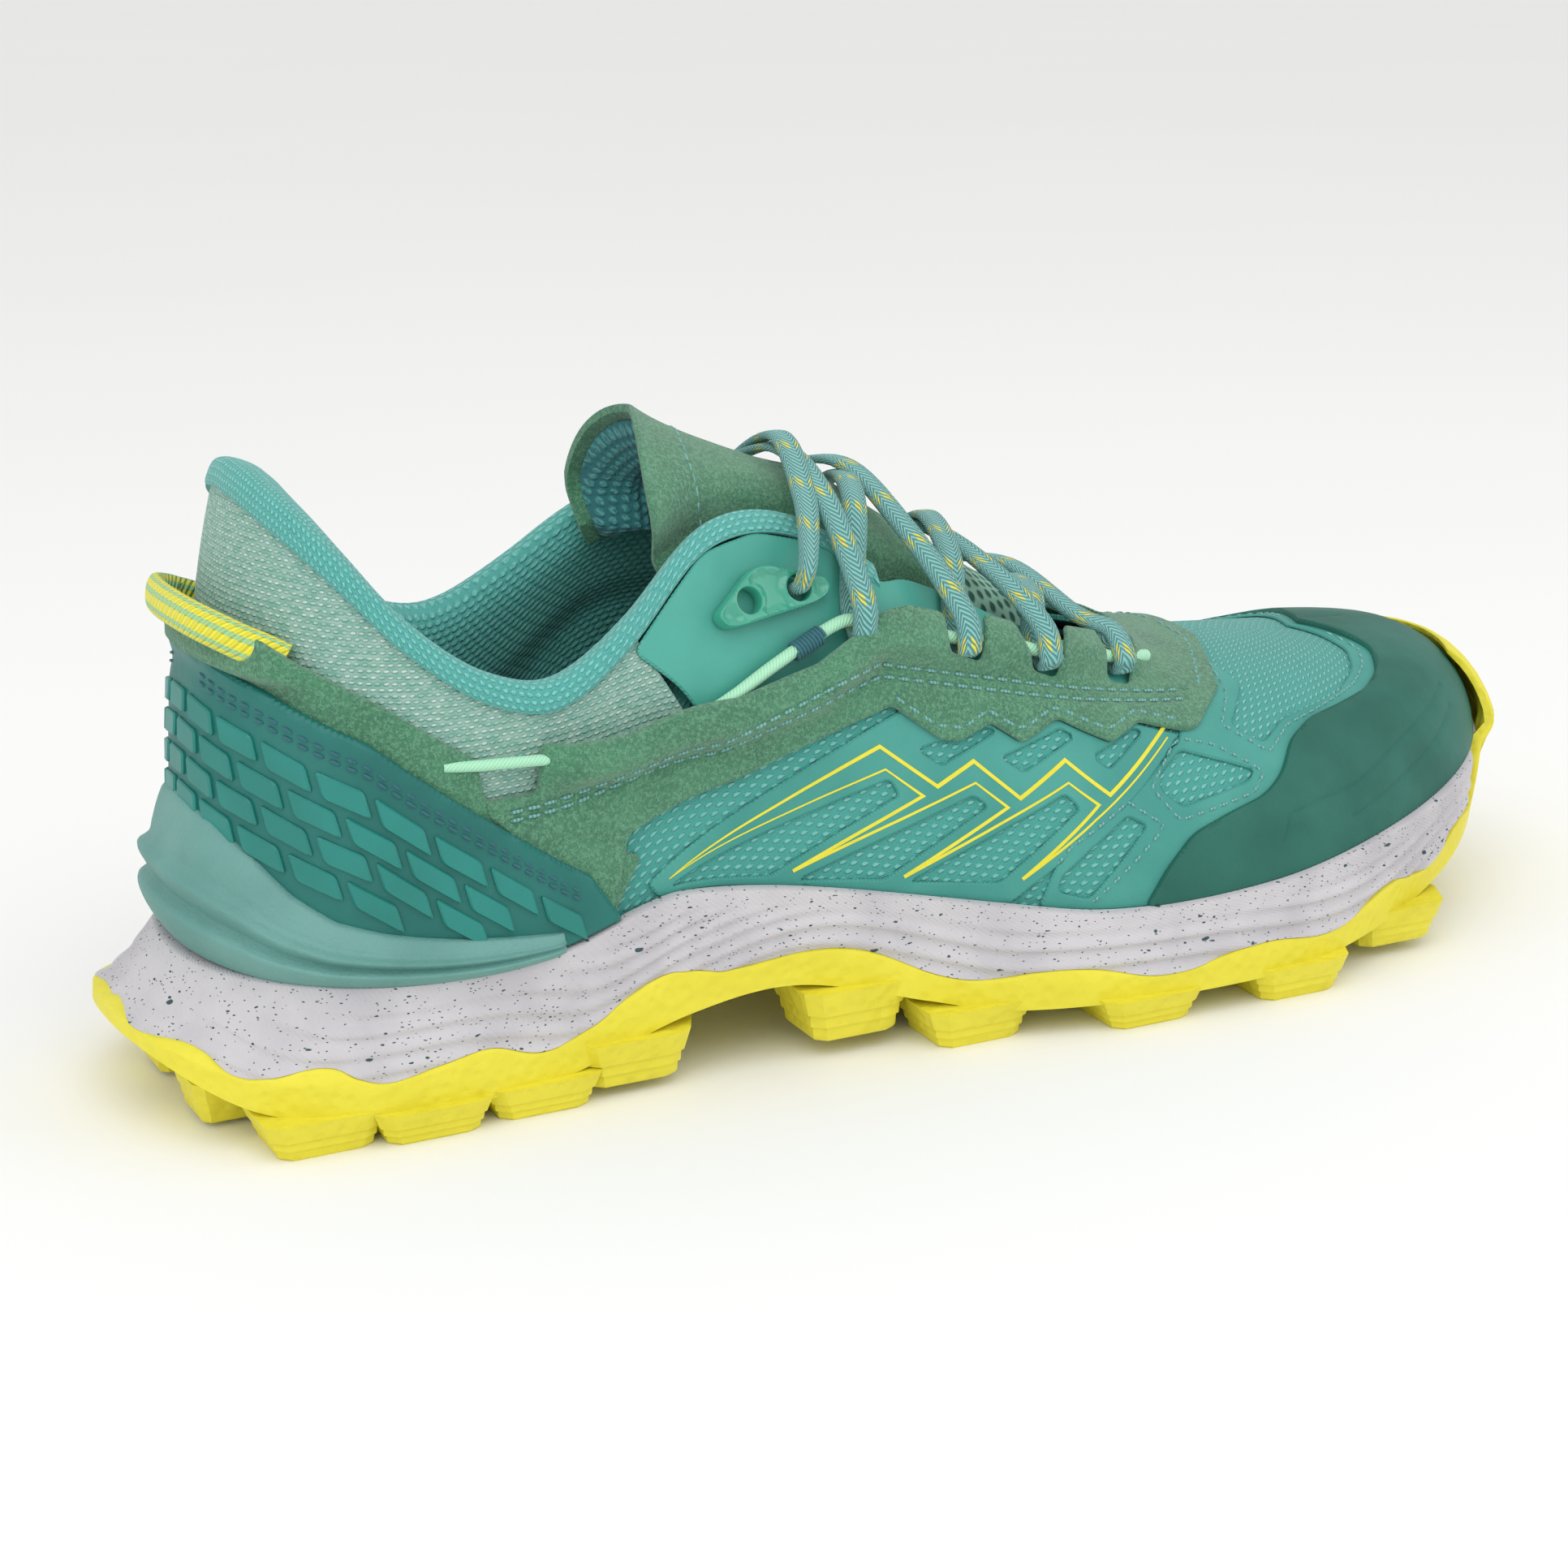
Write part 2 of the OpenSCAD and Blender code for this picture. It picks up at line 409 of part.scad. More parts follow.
module film_overlay(side) color("#46968c") {
    ss = span(34.5, 58.6, 30);
    on_side(side, ss, [for (s = ss) plain(6.4, lookup(s, STAY_LOW) + 1.5, FILM[0], FILM[1], 4)]);
}
module film_overlay_lateral() film_overlay(1);
module film_overlay_medial() film_overlay(-1);
module forefoot_overlay() color("#46968c") {
    ss = concat([59, 60.5, 62, 63.5], FORE);
    rows = [for (s = ss) plain(6.4, lookup(s, TOE_BAND_TOP), FILM[0], FILM[1], 4)];
    saddle(ss, rows, rows);
}
module toe_cap() color("#2a6459") {
    ss = concat([57, 58, 59.6, 61, 63, 64.7, 66.7], [for (s = FORE) if (s > 68 && s < 79) s], [81],
        [for (s = FORE) if (s > 82) s]);
    saddle(ss, band_to_spine(ss, [[0, 6.4]], CAP_TOP, CAP, 7, 82.5, 1),
        band_to_spine(ss, [[0, 6.4]], CAP_TOP, CAP, 7, 82.5, -1), 82.5);
}
// The eyestay lifts along its top edge, where it is folded over the lace cord
stay_lift = 5;
function stay_rows(ss, side) = [for (s = ss)
    let (top = girth(station(side > 0 ? s : 200 - s)), closed = s >= 61, lo = lookup(s, STAY_LOW),
         hi = closed ? top : min(lookup(s, STAY_TOP), top - 1), lift = closed || s < 27.6 ? 0 : stay_lift)
    [for (p = [[0, lo, 0], [1, mix(lo, hi - 9, 0.5), 0], [2, hi - 9, 0], [3, hi - 6.5, lift], [4,
        hi - 3, lift], [5, hi, lift]])
        let (g = max(lo + 0.4 * p[0], p[1])) [g, SUEDE[0] + p[2], g, SUEDE[1] + p[2]]]];
module suede_eyestay() color("#4f8468") {
    // Columns stand close on both sides of each notch
    ss = [27.7, 29, 31.5, 32.3, 34, 36, 38, 40, 42, 43.8, 45.4, 45.7, 46.8, 48.5, 48.8, 50.3, 50.6,
        51.6, 52.4, 52.7,
        53.5, 54.6, 54.9, 56, 57, 57.3, 58.8, 59.1, 60.2, 61, 62, 63.5, 65];
    saddle(ss, stay_rows(ss, 1), stay_rows(ss, -1), 61);
}
module suede_heel_band() color("#4f8468") {
    ss = span(-25.3, 25.3, 26);
    wall(ss, [for (s = ss) let (hi = lookup(abs(s), BAND_TOP))
        plain(min(hi - 4, lookup(abs(s), COUNTER_TOP) - 6), hi, SUEDE[0], SUEDE[1], 3)]);
}
module counter_overlay() color("#1f7a72") {
    ss = span(-31, 31, 30);
    wall(ss, [for (s = ss) plain(sole_g(s), max(lookup(abs(s), COUNTER_TOP), sole_g(s) + 1), TPU[0],
        TPU[1], 4)]);
}
module ankle_facing(side) color("#4ba294") {
    ss = span(33, 58, 24);
    difference() {
        on_side(side, ss, band(ss, FACING_LOW, FACING_TOP, FILM, 4));
        lace_holes();
    }
}
module ankle_facing_lateral() ankle_facing(1);
module ankle_facing_medial() ankle_facing(-1);

// ---- Eyelet plates, lace cord and lace ----------------------------------------------------------------

// The plate lies flat over the facing; x runs along the shoe, y up the skin
plate_at = [40.2, 54.5];
plate_outline = [[-11.5, -3.6], [-9.5, -5.6], [-7, -5.2], [8.2, 0.2], [11, 2.2], [10.6, 4.6], [-1.5,
    6], [-4.5, 5]];
spare_hole = [-5.2, -0.6];
lace_hole = [4.6, 2.4];
plate_lift = 2.8;
// [origin, along, up the skin, outwards] at the plate
function plate_frame(side) =
    let (s = side > 0 ? plate_at[0] : 200 - plate_at[0], o = skin(s, plate_at[1], plate_lift),
         along = unit(skin(s + side, plate_at[1], 0) - skin(s - side, plate_at[1], 0)),
         rough = unit(skin(s, plate_at[1] + 2, 0) - skin(s, plate_at[1] - 2, 0)),
         up = unit(rough - along * (rough * along)))
    [o, along, up, cross(along, up) * side];
function plate_pt(side, x, y, z) = let (f = plate_frame(side)) f[0] + x * f[1] + y * f[2] + z * f[3];
module on_plate(side) {
    f = plate_frame(side);
    out = f[3] * side;
    multmatrix([[f[1][0], f[2][0], out[0], f[0][0]], [f[1][1], f[2][1], out[1], f[0][1]],
        [f[1][2], f[2][2], out[2], f[0][2]], [0, 0, 0, 1]]) mirror([0, 0, side > 0 ? 0 : 1]) children();
}
module eyelet_plate(side) color("#3f9c84") on_plate(side) difference() {
    linear_extrude(1.8) polygon(plate_outline);
    for (h = [spare_hole, lace_hole]) translate([h[0], h[1], -1]) cylinder(h = 4, d = eyelet_d, $fn = 48);
}
module eyelet_plate_lateral() eyelet_plate(1);
module eyelet_plate_medial() eyelet_plate(-1);

// Lace cord: out of the heel band, under the eyestay's folded edge and past its notches, [s, g, d]
CORD = [[25.5, 37.6, 3.4], [27.5, 37.2, 3.6], [30, 36, 4], [33, 34.5, 4.2], [36, 35.5, 4.2], [37.8,
    38.6, 4.2],
    [40, 44, 4.1], [43, 51, 4.4], [44.3, 52.3, 5.3], [46.5, 52.5, 5.3], [49.5, 51, 5.3], [51.5, 51.5,
        5.3],
    [53.6, 50.5, 5.3], [56, 50.8, 5.3], [58, 50, 5.3], [60, 50.5, 5.3]];
function side_pt(p, side) = skin(side > 0 ? p[0] : 200 - p[0], p[1], p[2]);
module lace_cord(side) color("#a9e2bd") {
    strap([for (p = CORD) [side_pt(p, side), [0, 0, 1], cord_d, cord_d]]);
}
module lace_cord_lateral() lace_cord(1);
module lace_cord_medial() lace_cord(-1);
// Thread wound round the cord on its straight run up the facing
module cord_whipping(side) color("#1c5a66") {
    a = side_pt(CORD[6], side);
    b = side_pt(CORD[7], side);
    d = unit(b - a);
    translate(mix(a, b, 0.3)) rotate([0, acos(d[2]), atan2(d[1], d[0])]) difference() {
        cylinder(h = 6, d = cord_d + 1.2, $fn = 24);
        translate([0, 0, -1]) cylinder(h = 8, d = cord_d + 0.1, $fn = 24);
    }
}
module cord_whipping_lateral() cord_whipping(1);
module cord_whipping_medial() cord_whipping(-1);

// The lace: down through the holes of both plates, and criss-cross round the lace cords between them.
// Loops on the cord from the toe back, [s, g]; they lie in the eyestay's notches
LOOPS = [[58, 50], [53.6, 50.5], [49.5, 51], [44.3, 52.3]];
cord_lift = 5.3;
round_r = cord_d / 2 + gap + lace_t / 2;
// A ring of the lace is [point, up, width, thickness]; side is 1 lateral, -1 medial
function up_skin(s, g) = unit(skin(s, g + 1, 0) - skin(s, g - 1, 0));
function off_skin(s, g) = unit(skin(s, g, 1) - skin(s, g, 0));
// Five rings round the cord; from above to below it, or back when over is false
function loop(i, side, over, sign) =
    let (s = side > 0 ? LOOPS[i][0] : 200 - LOOPS[i][0], g = LOOPS[i][1], t = up_skin(s, g),
        n = off_skin(s, g),
         o = skin(s, g, cord_lift), turns = over ? [0, 45, 90, 135, 180] : [180, 135, 90, 45, 0])
    [for (a = turns) let (r = n * cos(a) - t * sin(a), leg = a == 0 || a == 180 ? 4.5 : 0)
        [o + r * round_r + t * leg, r * sign, lace_w, lace_t]];
// Three rings over the tongue, from ring_s a on this side to b on the other, at height mid in the middle
function crossing(a, b, side, da, mid, db, sign) = [for (w = [[0.24, beside, da], [0.5, 0, mid], [0.76,
    beside, db]])
    let (s1 = mix(a, b, w[0]), sd = w[0] > 0.5 ? -side : side, s = sd > 0 ? s1 : 200 - s1,
        g = girth(station(s)) - w[1])
    [skin(s, g, w[2]), off_skin(s, g) * sign, lace_w, lace_t]];
// Rings from outside the plate, through its hole and down inside the quarter to the aglet
TAIL = [[41.4, 50, -6], [43, 42, -6], [46.5, 36, -5.6], [51, 33, -5.4], [56, 32, -5.4]];
tight_w = 3.2;
tight_t = 1.9;
function through(side, sign) =
    let (f = plate_frame(side), x = lace_hole[0], y = lace_hole[1])
    concat([[plate_pt(side, x + 0.5, y + 5, 4.6), f[3] * sign, lace_w * 0.8, lace_t],
        [plate_pt(side, x, y + 0.6, 3.2), unit(f[3] - f[2]) * sign, tight_w, tight_t],
        [plate_pt(side, x, y, 0.6), -f[2] * sign, tight_w, tight_t],
        [plate_pt(side, x, y, -5.5), -f[2] * sign, tight_w, tight_t],
        [plate_pt(side, x + 0.5, y - 1.6, -8.8), unit(f[3] - f[2]) * sign, lace_w * 0.7, lace_t]],
        [for (p = TAIL) let (s = side > 0 ? p[0] : 200 - p[0]) [skin(s, p[1], p[2]), off_skin(s,
            p[1]) * sign,
            p[0] < 42 ? lace_w * 0.85 : lace_w, lace_t]]);
function back(l) = [for (i = [len(l) - 1:-1:0]) l[i]];
top_s = 42.5;
beside = 17;
high = 4.8;
low = 2.6;
// The lace leaves the middle of the tongue this far beside the spine, and passes it high or low.
// Lift of the lace beside the spine where it comes out from under the cord, more over the collar's edge
under_cord = 4.2;
over_edge = 4.6;
over_cord = 5.2;
function lace_rings() = concat(
    back(through(1, 1)), crossing(top_s, LOOPS[3][0], 1, over_edge, high, over_cord, 1), loop(3, -1,
        true, 1),
    crossing(LOOPS[3][0], LOOPS[2][0], -1, over_edge, high, over_cord, -1), loop(2, 1, true, -1),
    crossing(LOOPS[2][0], LOOPS[1][0], 1, under_cord, high, over_cord, 1), loop(1, -1, true, 1),
    crossing(LOOPS[1][0], LOOPS[0][0], -1, under_cord, high, over_cord, -1), loop(0, 1, true, -1),
    crossing(LOOPS[0][0] + 0.8, LOOPS[0][0] + 0.8, 1, under_cord, low, under_cord, 1), loop(0, -1,
        false, -1),
    crossing(LOOPS[0][0], LOOPS[1][0], -1, over_cord, low, under_cord, -1), loop(1, 1, false, 1),
    crossing(LOOPS[1][0], LOOPS[2][0], 1, over_cord, low, under_cord, 1), loop(2, -1, false, -1),
    crossing(LOOPS[2][0], LOOPS[3][0], -1, over_cord, low, over_edge, -1), loop(3, 1, false, 1),
    crossing(LOOPS[3][0], top_s, 1, over_cord, low, over_edge, 1), through(-1, 1));
module lace() color("#6db3b0") strap(lace_rings(), 6);
// Plastic tips on both ends of the lace
module aglets() color("#2a4f4e") for (side = [1, -1]) {
    a = side_pt(TAIL[3], side);
    b = side_pt(TAIL[4], side);
    d = unit(b - a);
    translate(b) rotate([0, acos(d[2]), atan2(d[1], d[0])]) cylinder(h = 14, d = 3.4, $fn = 24);
}

// ---- Tongue -------------------------------------------------------------------------------------------

// The gap between the facings that the tongue fills, [s, g of its edge], and how the tongue's face drops
// towards that edge, [g past it, lift]; at its root the tongue runs low
GAP_EDGE = [[34, 60], [37, 68.5], [40, 72.5], [43, 71.5], [46, 65.5], [48, 64], [51, 62.5], [53, 60],
    [62, 56]];
DROP = [[0.5, -7], [5.5, -2.2], [9, -0.9], [20, -0.5], [40, -0.5]];
ROOT_DROP = [[55, 0], [60, 1]];
TONGUE_W = [[34, 33], [50, 33], [56, 28], [62, 20]];
function face(s, g) = mix(lookup(g - lookup(s, GAP_EDGE), DROP), -7, lookup(s, ROOT_DROP));
function tongue_rows(ss, side, in, out, narrow) = [for (s = ss)
    let (top = girth(station(side > 0 ? s : 200 - s)), w = min(lookup(s, TONGUE_W), top - lookup(s,
        GAP_EDGE) + 6))
    [for (u = [1, 0.87, 0.75, 0.6, 0.45, 0.25, 0]) let (g = top - min(u * w, w - narrow))
        [g, face(s, g) - in, g, face(s, g) - out]]];
module tongue_layer(ss, in, out, narrow) saddle(ss, tongue_rows(ss, 1, in, out, narrow),
    tongue_rows(ss, -1, in, out, narrow), 0);
TONGUE_S = [34.5, 35.6, 37, 38.5, 40, 42, 44, 46, 48, 50, 51.6, 51.9, 54, 56.5, 59, 61.5, 62.6];
function tongue_span(a, b) = [for (s = TONGUE_S) if (s >= a && s <= b) s];
module tongue_suede() color("#4f8468") tongue_layer(tongue_span(34.5, 51.6), 1, 0, 0);
module tongue_mesh() color("#8fb0a0") tongue_layer(tongue_span(51.9, 62.6), 1, 0, 0);
module tongue_padding() color("#c9c9bd") tongue_layer(tongue_span(35.6, 61.5), 1.3 + tongue_foam, 1.2, 2);
module tongue_lining() color("#2f6c6c") tongue_layer(tongue_span(35.6, 62.6), 2.3 + tongue_foam,
    1.5 + tongue_foam, 1.5);

// ---- Pull loop ----------------------------------------------------------------------------------------

LOOP_PTS = [[10, 54.5, 5.6], [7.5, 56.2, 6.4], [5, 57.2, 7.6], [2.5, 57.7, 8], [0, 57.8, 8.2]];
rope_w = 6;
rope_t = 2.6;
module pull_loop() color("#ede63a") {
    path = concat(LOOP_PTS, [for (i = [3:-1:0]) [-LOOP_PTS[i][0], LOOP_PTS[i][1], LOOP_PTS[i][2]]]);
    strap([for (p = path) [skin(p[0], p[1], p[2]), off_skin(p[0], p[1]), rope_w, rope_t]], 12);
}

// Moves the shoe so that its box is centred on the origin
middle = [2.4 * k, -2.3];
module place() translate([-middle[0], -middle[1], 0]) children();

place() outsole();
place() midsole();
place() heel_cradle();
place() strobel_board();
place() insole();
place() heel_stiffener();
place() toe_puff();
place() vamp_lining();
place() collar_lining();
place() collar_padding();
place() collar_knit();
place() mesh_upper();
place() film_overlay_lateral();
place() film_overlay_medial();
place() forefoot_overlay();
place() toe_cap();
place() suede_eyestay();
place() suede_heel_band();
place() counter_overlay();
place() ankle_facing_lateral();
place() ankle_facing_medial();
place() eyelet_plate_lateral();
place() eyelet_plate_medial();
place() lace_cord_lateral();
place() lace_cord_medial();
place() cord_whipping_lateral();
place() cord_whipping_medial();
place() lace();
place() aglets();
place() tongue_suede();
place() tongue_mesh();
place() tongue_padding();
place() tongue_lining();
place() pull_loop();
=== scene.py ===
# %% [markdown]
# A low trail running shoe for the right foot, toe towards +X and lateral side towards -Y. Everything in
# this lesson is laid on one "last", the form a shoe is sewn round, so the pieces meet as they do in life.
# The first cell loads the solid model as a fixed frame, with every part's place moved into its vertices.

# %% Load the frame
import math
import bpy
import bmesh
import numpy as np
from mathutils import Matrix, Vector
from mathutils.geometry import delaunay_2d_cdt


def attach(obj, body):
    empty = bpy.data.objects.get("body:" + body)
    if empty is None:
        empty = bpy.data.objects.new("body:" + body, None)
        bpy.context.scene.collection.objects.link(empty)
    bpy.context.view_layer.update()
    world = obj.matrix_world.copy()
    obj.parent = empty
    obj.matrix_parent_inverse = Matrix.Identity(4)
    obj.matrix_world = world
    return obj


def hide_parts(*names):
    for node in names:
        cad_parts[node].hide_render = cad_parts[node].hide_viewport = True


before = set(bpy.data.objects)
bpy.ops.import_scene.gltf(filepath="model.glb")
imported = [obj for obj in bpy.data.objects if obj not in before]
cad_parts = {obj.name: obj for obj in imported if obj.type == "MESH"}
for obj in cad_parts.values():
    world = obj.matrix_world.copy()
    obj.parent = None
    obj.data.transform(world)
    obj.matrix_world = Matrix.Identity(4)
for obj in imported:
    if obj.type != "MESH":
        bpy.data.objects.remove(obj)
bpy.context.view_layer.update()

# %% [markdown]
# On a real shoe the sole and the upper are drawn as outlines seen from above and heights along the length.
# Two helpers read such tables: straight between the stations, or as a smooth curve through them.

# %% Reading a table of stations
def lookup(table, x):
    t = np.array(table, float)
    return np.interp(x, t[:, 0], t[:, 1])

def smooth(table, x):
    t = np.array(table, float)
    xs, ys, last = t[:, 0], t[:, 1], len(t) - 1
    x = np.clip(x, xs[0], xs[-1])
    i = np.clip(np.searchsorted(xs, x, side="right") - 1, 0, last - 1)
    def slope(j):
        a, b = np.maximum(j - 1, 0), np.minimum(j + 1, last)
        return (ys[b] - ys[a]) / (xs[b] - xs[a])
    h = xs[i + 1] - xs[i]
    u = (x - xs[i]) / h
    return (ys[i] * (2 * u**3 - 3 * u**2 + 1) + slope(i) * h * (u**3 - 2 * u**2 + u)
            + ys[i + 1] * (3 * u**2 - 2 * u**3) + slope(i + 1) * h * (u**3 - u**2))

def cap(d, n):
    c = np.clip(d, 0, 1)
    return (1 - (1 - c) ** n) ** (1 / n)

def unit(v):
    return v / np.maximum(np.linalg.norm(v, axis=-1, keepdims=True), 1e-9)

def mix(a, b, u):
    return a + (b - a) * u

def run_length(points):
    """Distance along a line of points, from 0 at its start"""
    return np.concatenate([[0], np.cumsum(np.linalg.norm(np.diff(points, axis=0), axis=1))])

# %% [markdown]
# The sole's edge and the last's edge are egg-shaped outlines. A place s goes once round the shoe: 0 at the
# heel, 50 halfway along the lateral side, 100 at the toe, 150 on the medial side. Lengths are in millimetres
# here and become metres when a mesh is made.

# %% Outlines of the sole and the last
SOLE = [-141, 143, 42, 86, 62,
    [[-141, 39], [-100, 40], [-60, 38], [-20, 39], [20, 49], [60, 53], [100, 51], [143, 49]],
    [[-141, 37], [-100, 38], [-60, 34], [-20, 32], [20, 41], [60, 46], [100, 45], [143, 43]],
    [[-141, 0], [0, 0], [60, 0], [100, 4], [143, 9]]]
LAST = [-122, 140, 38, 78, 60,
    [[-122, 33], [-80, 34], [-40, 34], [0, 38], [40, 46], [80, 48], [140, 46]],
    [[-122, 31], [-80, 32], [-40, 29], [0, 33], [40, 41], [80, 42], [140, 40]],
    [[-122, 0], [0, 0], [60, 0], [100, 4], [140, 9]]]
PLATE_Z = [[-141, 16], [-125, 7], [-105, 5], [-75, 5], [-50, 12], [-30, 14], [-5, 8], [10, 5],
    [60, 5], [90, 7.5], [115, 12], [130, 16.5], [143, 22]]
FACE_Z = [[-141, 9], [-128, 2], [-118, 0], [-70, 0], [-50, 5], [-30, 8], [-12, 1], [0, 0], [70, 0],
    [90, 1.5], [115, 6], [130, 10.5], [143, 16]]
LIP_Z = [[-141, 38], [-110, 31], [-75, 30.5], [-50, 34.5], [-30, 32.5], [10, 24.5], [30, 21.5],
    [60, 22.5], [90, 26.5], [120, 31], [143, 35]]
MID_TOP = [[-141, 28], [-90, 27], [-72, 28.5], [-58, 33], [-50, 34.5], [-30, 32.5], [10, 24.5], [30, 21.5],
    [60, 22.5], [90, 26.5], [120, 31], [143, 35]]
SPINE_X = [[-122, -78], [-90, -66], [-60, -48], [0, 2], [60, 60], [100, 92], [140, 116]]
SPINE_Z = [[-78, 150], [-60, 132], [-48, 117], [-38, 109], [-20, 101], [-7, 96.5], [6, 88], [27, 75],
    [45, 63.5], [60, 58.5], [75, 56], [97, 53], [116, 51]]
BOXY = [[-122, 2.6], [-60, 2.7], [0, 2.3], [60, 2.3], [100, 2.5], [140, 3.4]]
FEATHER = 6
MIDDLE = np.array([2.4, -2.3, 0])

def rim_x(o, s):
    return (o[0] + o[1]) / 2 - (o[1] - o[0]) / 2 * np.cos(np.radians(1.8 * np.asarray(s, float)))

def rim(o, s):
    s = np.asarray(s, float)
    x = rim_x(o, s)
    med = np.mod(s, 200) > 100
    w = np.where(med, smooth(o[6], x), smooth(o[5], x))
    w = w * cap((x - o[0]) / o[2], 2.3) * cap((o[1] - x) / np.where(med, o[4], o[3]), 2.2)
    return np.stack([x, smooth(o[7], x) + np.where(med, w, -w)], -1)

def rim_out(o, s):
    d = unit(rim(o, s + 0.3) - rim(o, s - 0.3))
    return np.stack([d[..., 1], -d[..., 0]], -1)

# %% [markdown]
# From the edge the last curves up to a spine down the middle of the foot. g is the way up that curve in
# millimetres, so a place on the upper is (s, g), and d is how far a layer stands off the last. The whole
# skin is worked out once as a fine table, which makes every later piece quick.

# %% The last's skin
def profile(f, r, p, a):
    v = np.sin(np.radians(a))
    h = 1 - np.sqrt(np.maximum(0, 1 - v**p))
    return np.stack([mix(f[0], r[0], h), mix(f[1], r[1], h), mix(f[2], r[2], v)], -1)

def station(s, ups):
    f2 = rim(LAST, s)
    xr = smooth(SPINE_X, f2[0])
    f = np.array([f2[0], f2[1], smooth(LIP_Z, f2[0]) - FEATHER])
    r = np.array([xr, smooth(LAST[7], xr), smooth(SPINE_Z, xr)])
    p = float(smooth(BOXY, f2[0]))
    angles = np.linspace(0, 90, 19)
    g = run_length(profile(f, r, p, angles))
    a = np.interp(ups * g[-1], g, angles)
    t = profile(f, r, p, np.minimum(90, a + 1)) - profile(f, r, p, np.maximum(0, a - 1))
    h = 1 - np.sqrt(np.maximum(0, 1 - np.sin(np.radians(a)) ** p))
    e = unit(f[:2] - r[:2])
    o = unit(mix(rim_out(LAST, s), e, h[:, None]))
    n = unit(np.stack([o[:, 0] * t[:, 2], o[:, 1] * t[:, 2], np.hypot(t[:, 0], t[:, 1])], -1))
    return profile(f, r, p, a), n, g[-1]

UPS = np.linspace(0, 1, 161)
PER = 5
rows = [station(i / PER, UPS) for i in range(200 * PER + 1)]
SKIN_P = np.array([r[0] for r in rows])
SKIN_N = np.array([r[1] for r in rows])
GIRTH = np.array([r[2] for r in rows])

def girth(s):
    return np.interp(np.mod(s, 200), np.arange(len(GIRTH)) / PER, GIRTH)

def skin(s, g, d):
    s, g, d = np.broadcast_arrays(np.asarray(s, float), np.asarray(g, float), np.asarray(d, float))
    fs = np.mod(s, 200) * PER
    i = np.minimum(fs.astype(int), 200 * PER - 1)
    fu = np.clip(g / girth(s), 0, 1) * (len(UPS) - 1)
    j = np.minimum(fu.astype(int), len(UPS) - 2)
    a, b = (fs - i)[..., None], (fu - j)[..., None]
    def at(t):
        return mix(mix(t[i, j], t[i + 1, j], a), mix(t[i, j + 1], t[i + 1, j + 1], a), b)
    return at(SKIN_P) + unit(at(SKIN_N)) * d[..., None] - MIDDLE

LONG_S = np.linspace(0, 100, 501)
BALL_G = 22
LONG_X = run_length(skin(LONG_S, BALL_G, 0))

def along(s):
    return np.interp(s, LONG_S, LONG_X)

def station_at(x):
    return np.interp(x, LONG_X, LONG_S)
print("the skin is", round(float(LONG_X[-1])), "mm from heel to toe along one side")

# %% [markdown]
# One layer rests on the next, as in a sewn shoe. These numbers are the outer or inner distance of each layer
# off the last. A piece is drawn for the lateral side and carried to the medial side, where the girth differs.

# %% Layers and sides
SKIN_D, FILM_D, SUEDE_D, CAP_D, TPU_D = (0.1, 1.1), (1.3, 1.8), (1.9, 3.0), (1.8, 2.9), (3.0, 4.3)
SIDES = ((1, "lateral"), (-1, "medial"))

def near_s(s, side):
    """The same place on the lateral side, 1, or the medial side, -1"""
    return s if side > 0 else 200 - s

def side_sg(s, g, side):
    if side > 0:
        return s, g
    lat, med = girth(s), girth(200 - np.asarray(s))
    return 200 - np.asarray(s), g - (lat - med) * (g / lat) ** 2

def put(s, g, d, side=1):
    s, g = side_sg(np.asarray(s, float), np.asarray(g, float), side)
    return skin(s, g, d)

# %% [markdown]
# Every piece ends as one closed mesh whose place is in its vertices. The first helper makes the mesh, welds
# doubled points, turns all faces outwards and smooths all but the sharp edges. Blender's angle shading is
# used because cut edges of cloth stay crisp while the skin stays smooth.

# %% From points and faces to a finished piece
finishes = {}

def solid(name, points, faces, slot, uv=None, body="root", angle=38):
    mesh = bpy.data.meshes.new(name)
    mesh.from_pydata((np.asarray(points, float) / 1000).tolist(), [], [list(map(int, f)) for f in faces])
    if uv is not None:
        layer = mesh.uv_layers.new(name="UVMap")
        loops = np.zeros(len(mesh.loops), int)
        mesh.loops.foreach_get("vertex_index", loops)
        layer.data.foreach_set("uv", (np.asarray(uv, float)[loops] / 1000).astype(np.float32).ravel())
    bm = bmesh.new()
    bm.from_mesh(mesh)
    bmesh.ops.remove_doubles(bm, verts=bm.verts, dist=2e-6)
    bmesh.ops.recalc_face_normals(bm, faces=bm.faces)
    bm.to_mesh(mesh)
    bm.free()
    made = bpy.data.objects.new(name, mesh)
    bpy.context.collection.objects.link(made)
    bpy.ops.object.select_all(action="DESELECT")
    made.select_set(True)
    bpy.context.view_layer.objects.active = made
    bpy.ops.object.shade_smooth_by_angle(angle=math.radians(angle))
    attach(made, body)
    finishes.setdefault(slot, []).append(made)
    return made

# %% [markdown]
# Grids make the rolled and moulded pieces. slab() closes two grids of points, outer and inner, with walls
# round their four sides, and pipe() closes rings into a cord.

# %% Slabs and pipes
def grid_faces(ids):
    return np.stack([ids[:-1, :-1], ids[:-1, 1:], ids[1:, 1:], ids[1:, :-1]], -1).reshape(-1, 4).tolist()

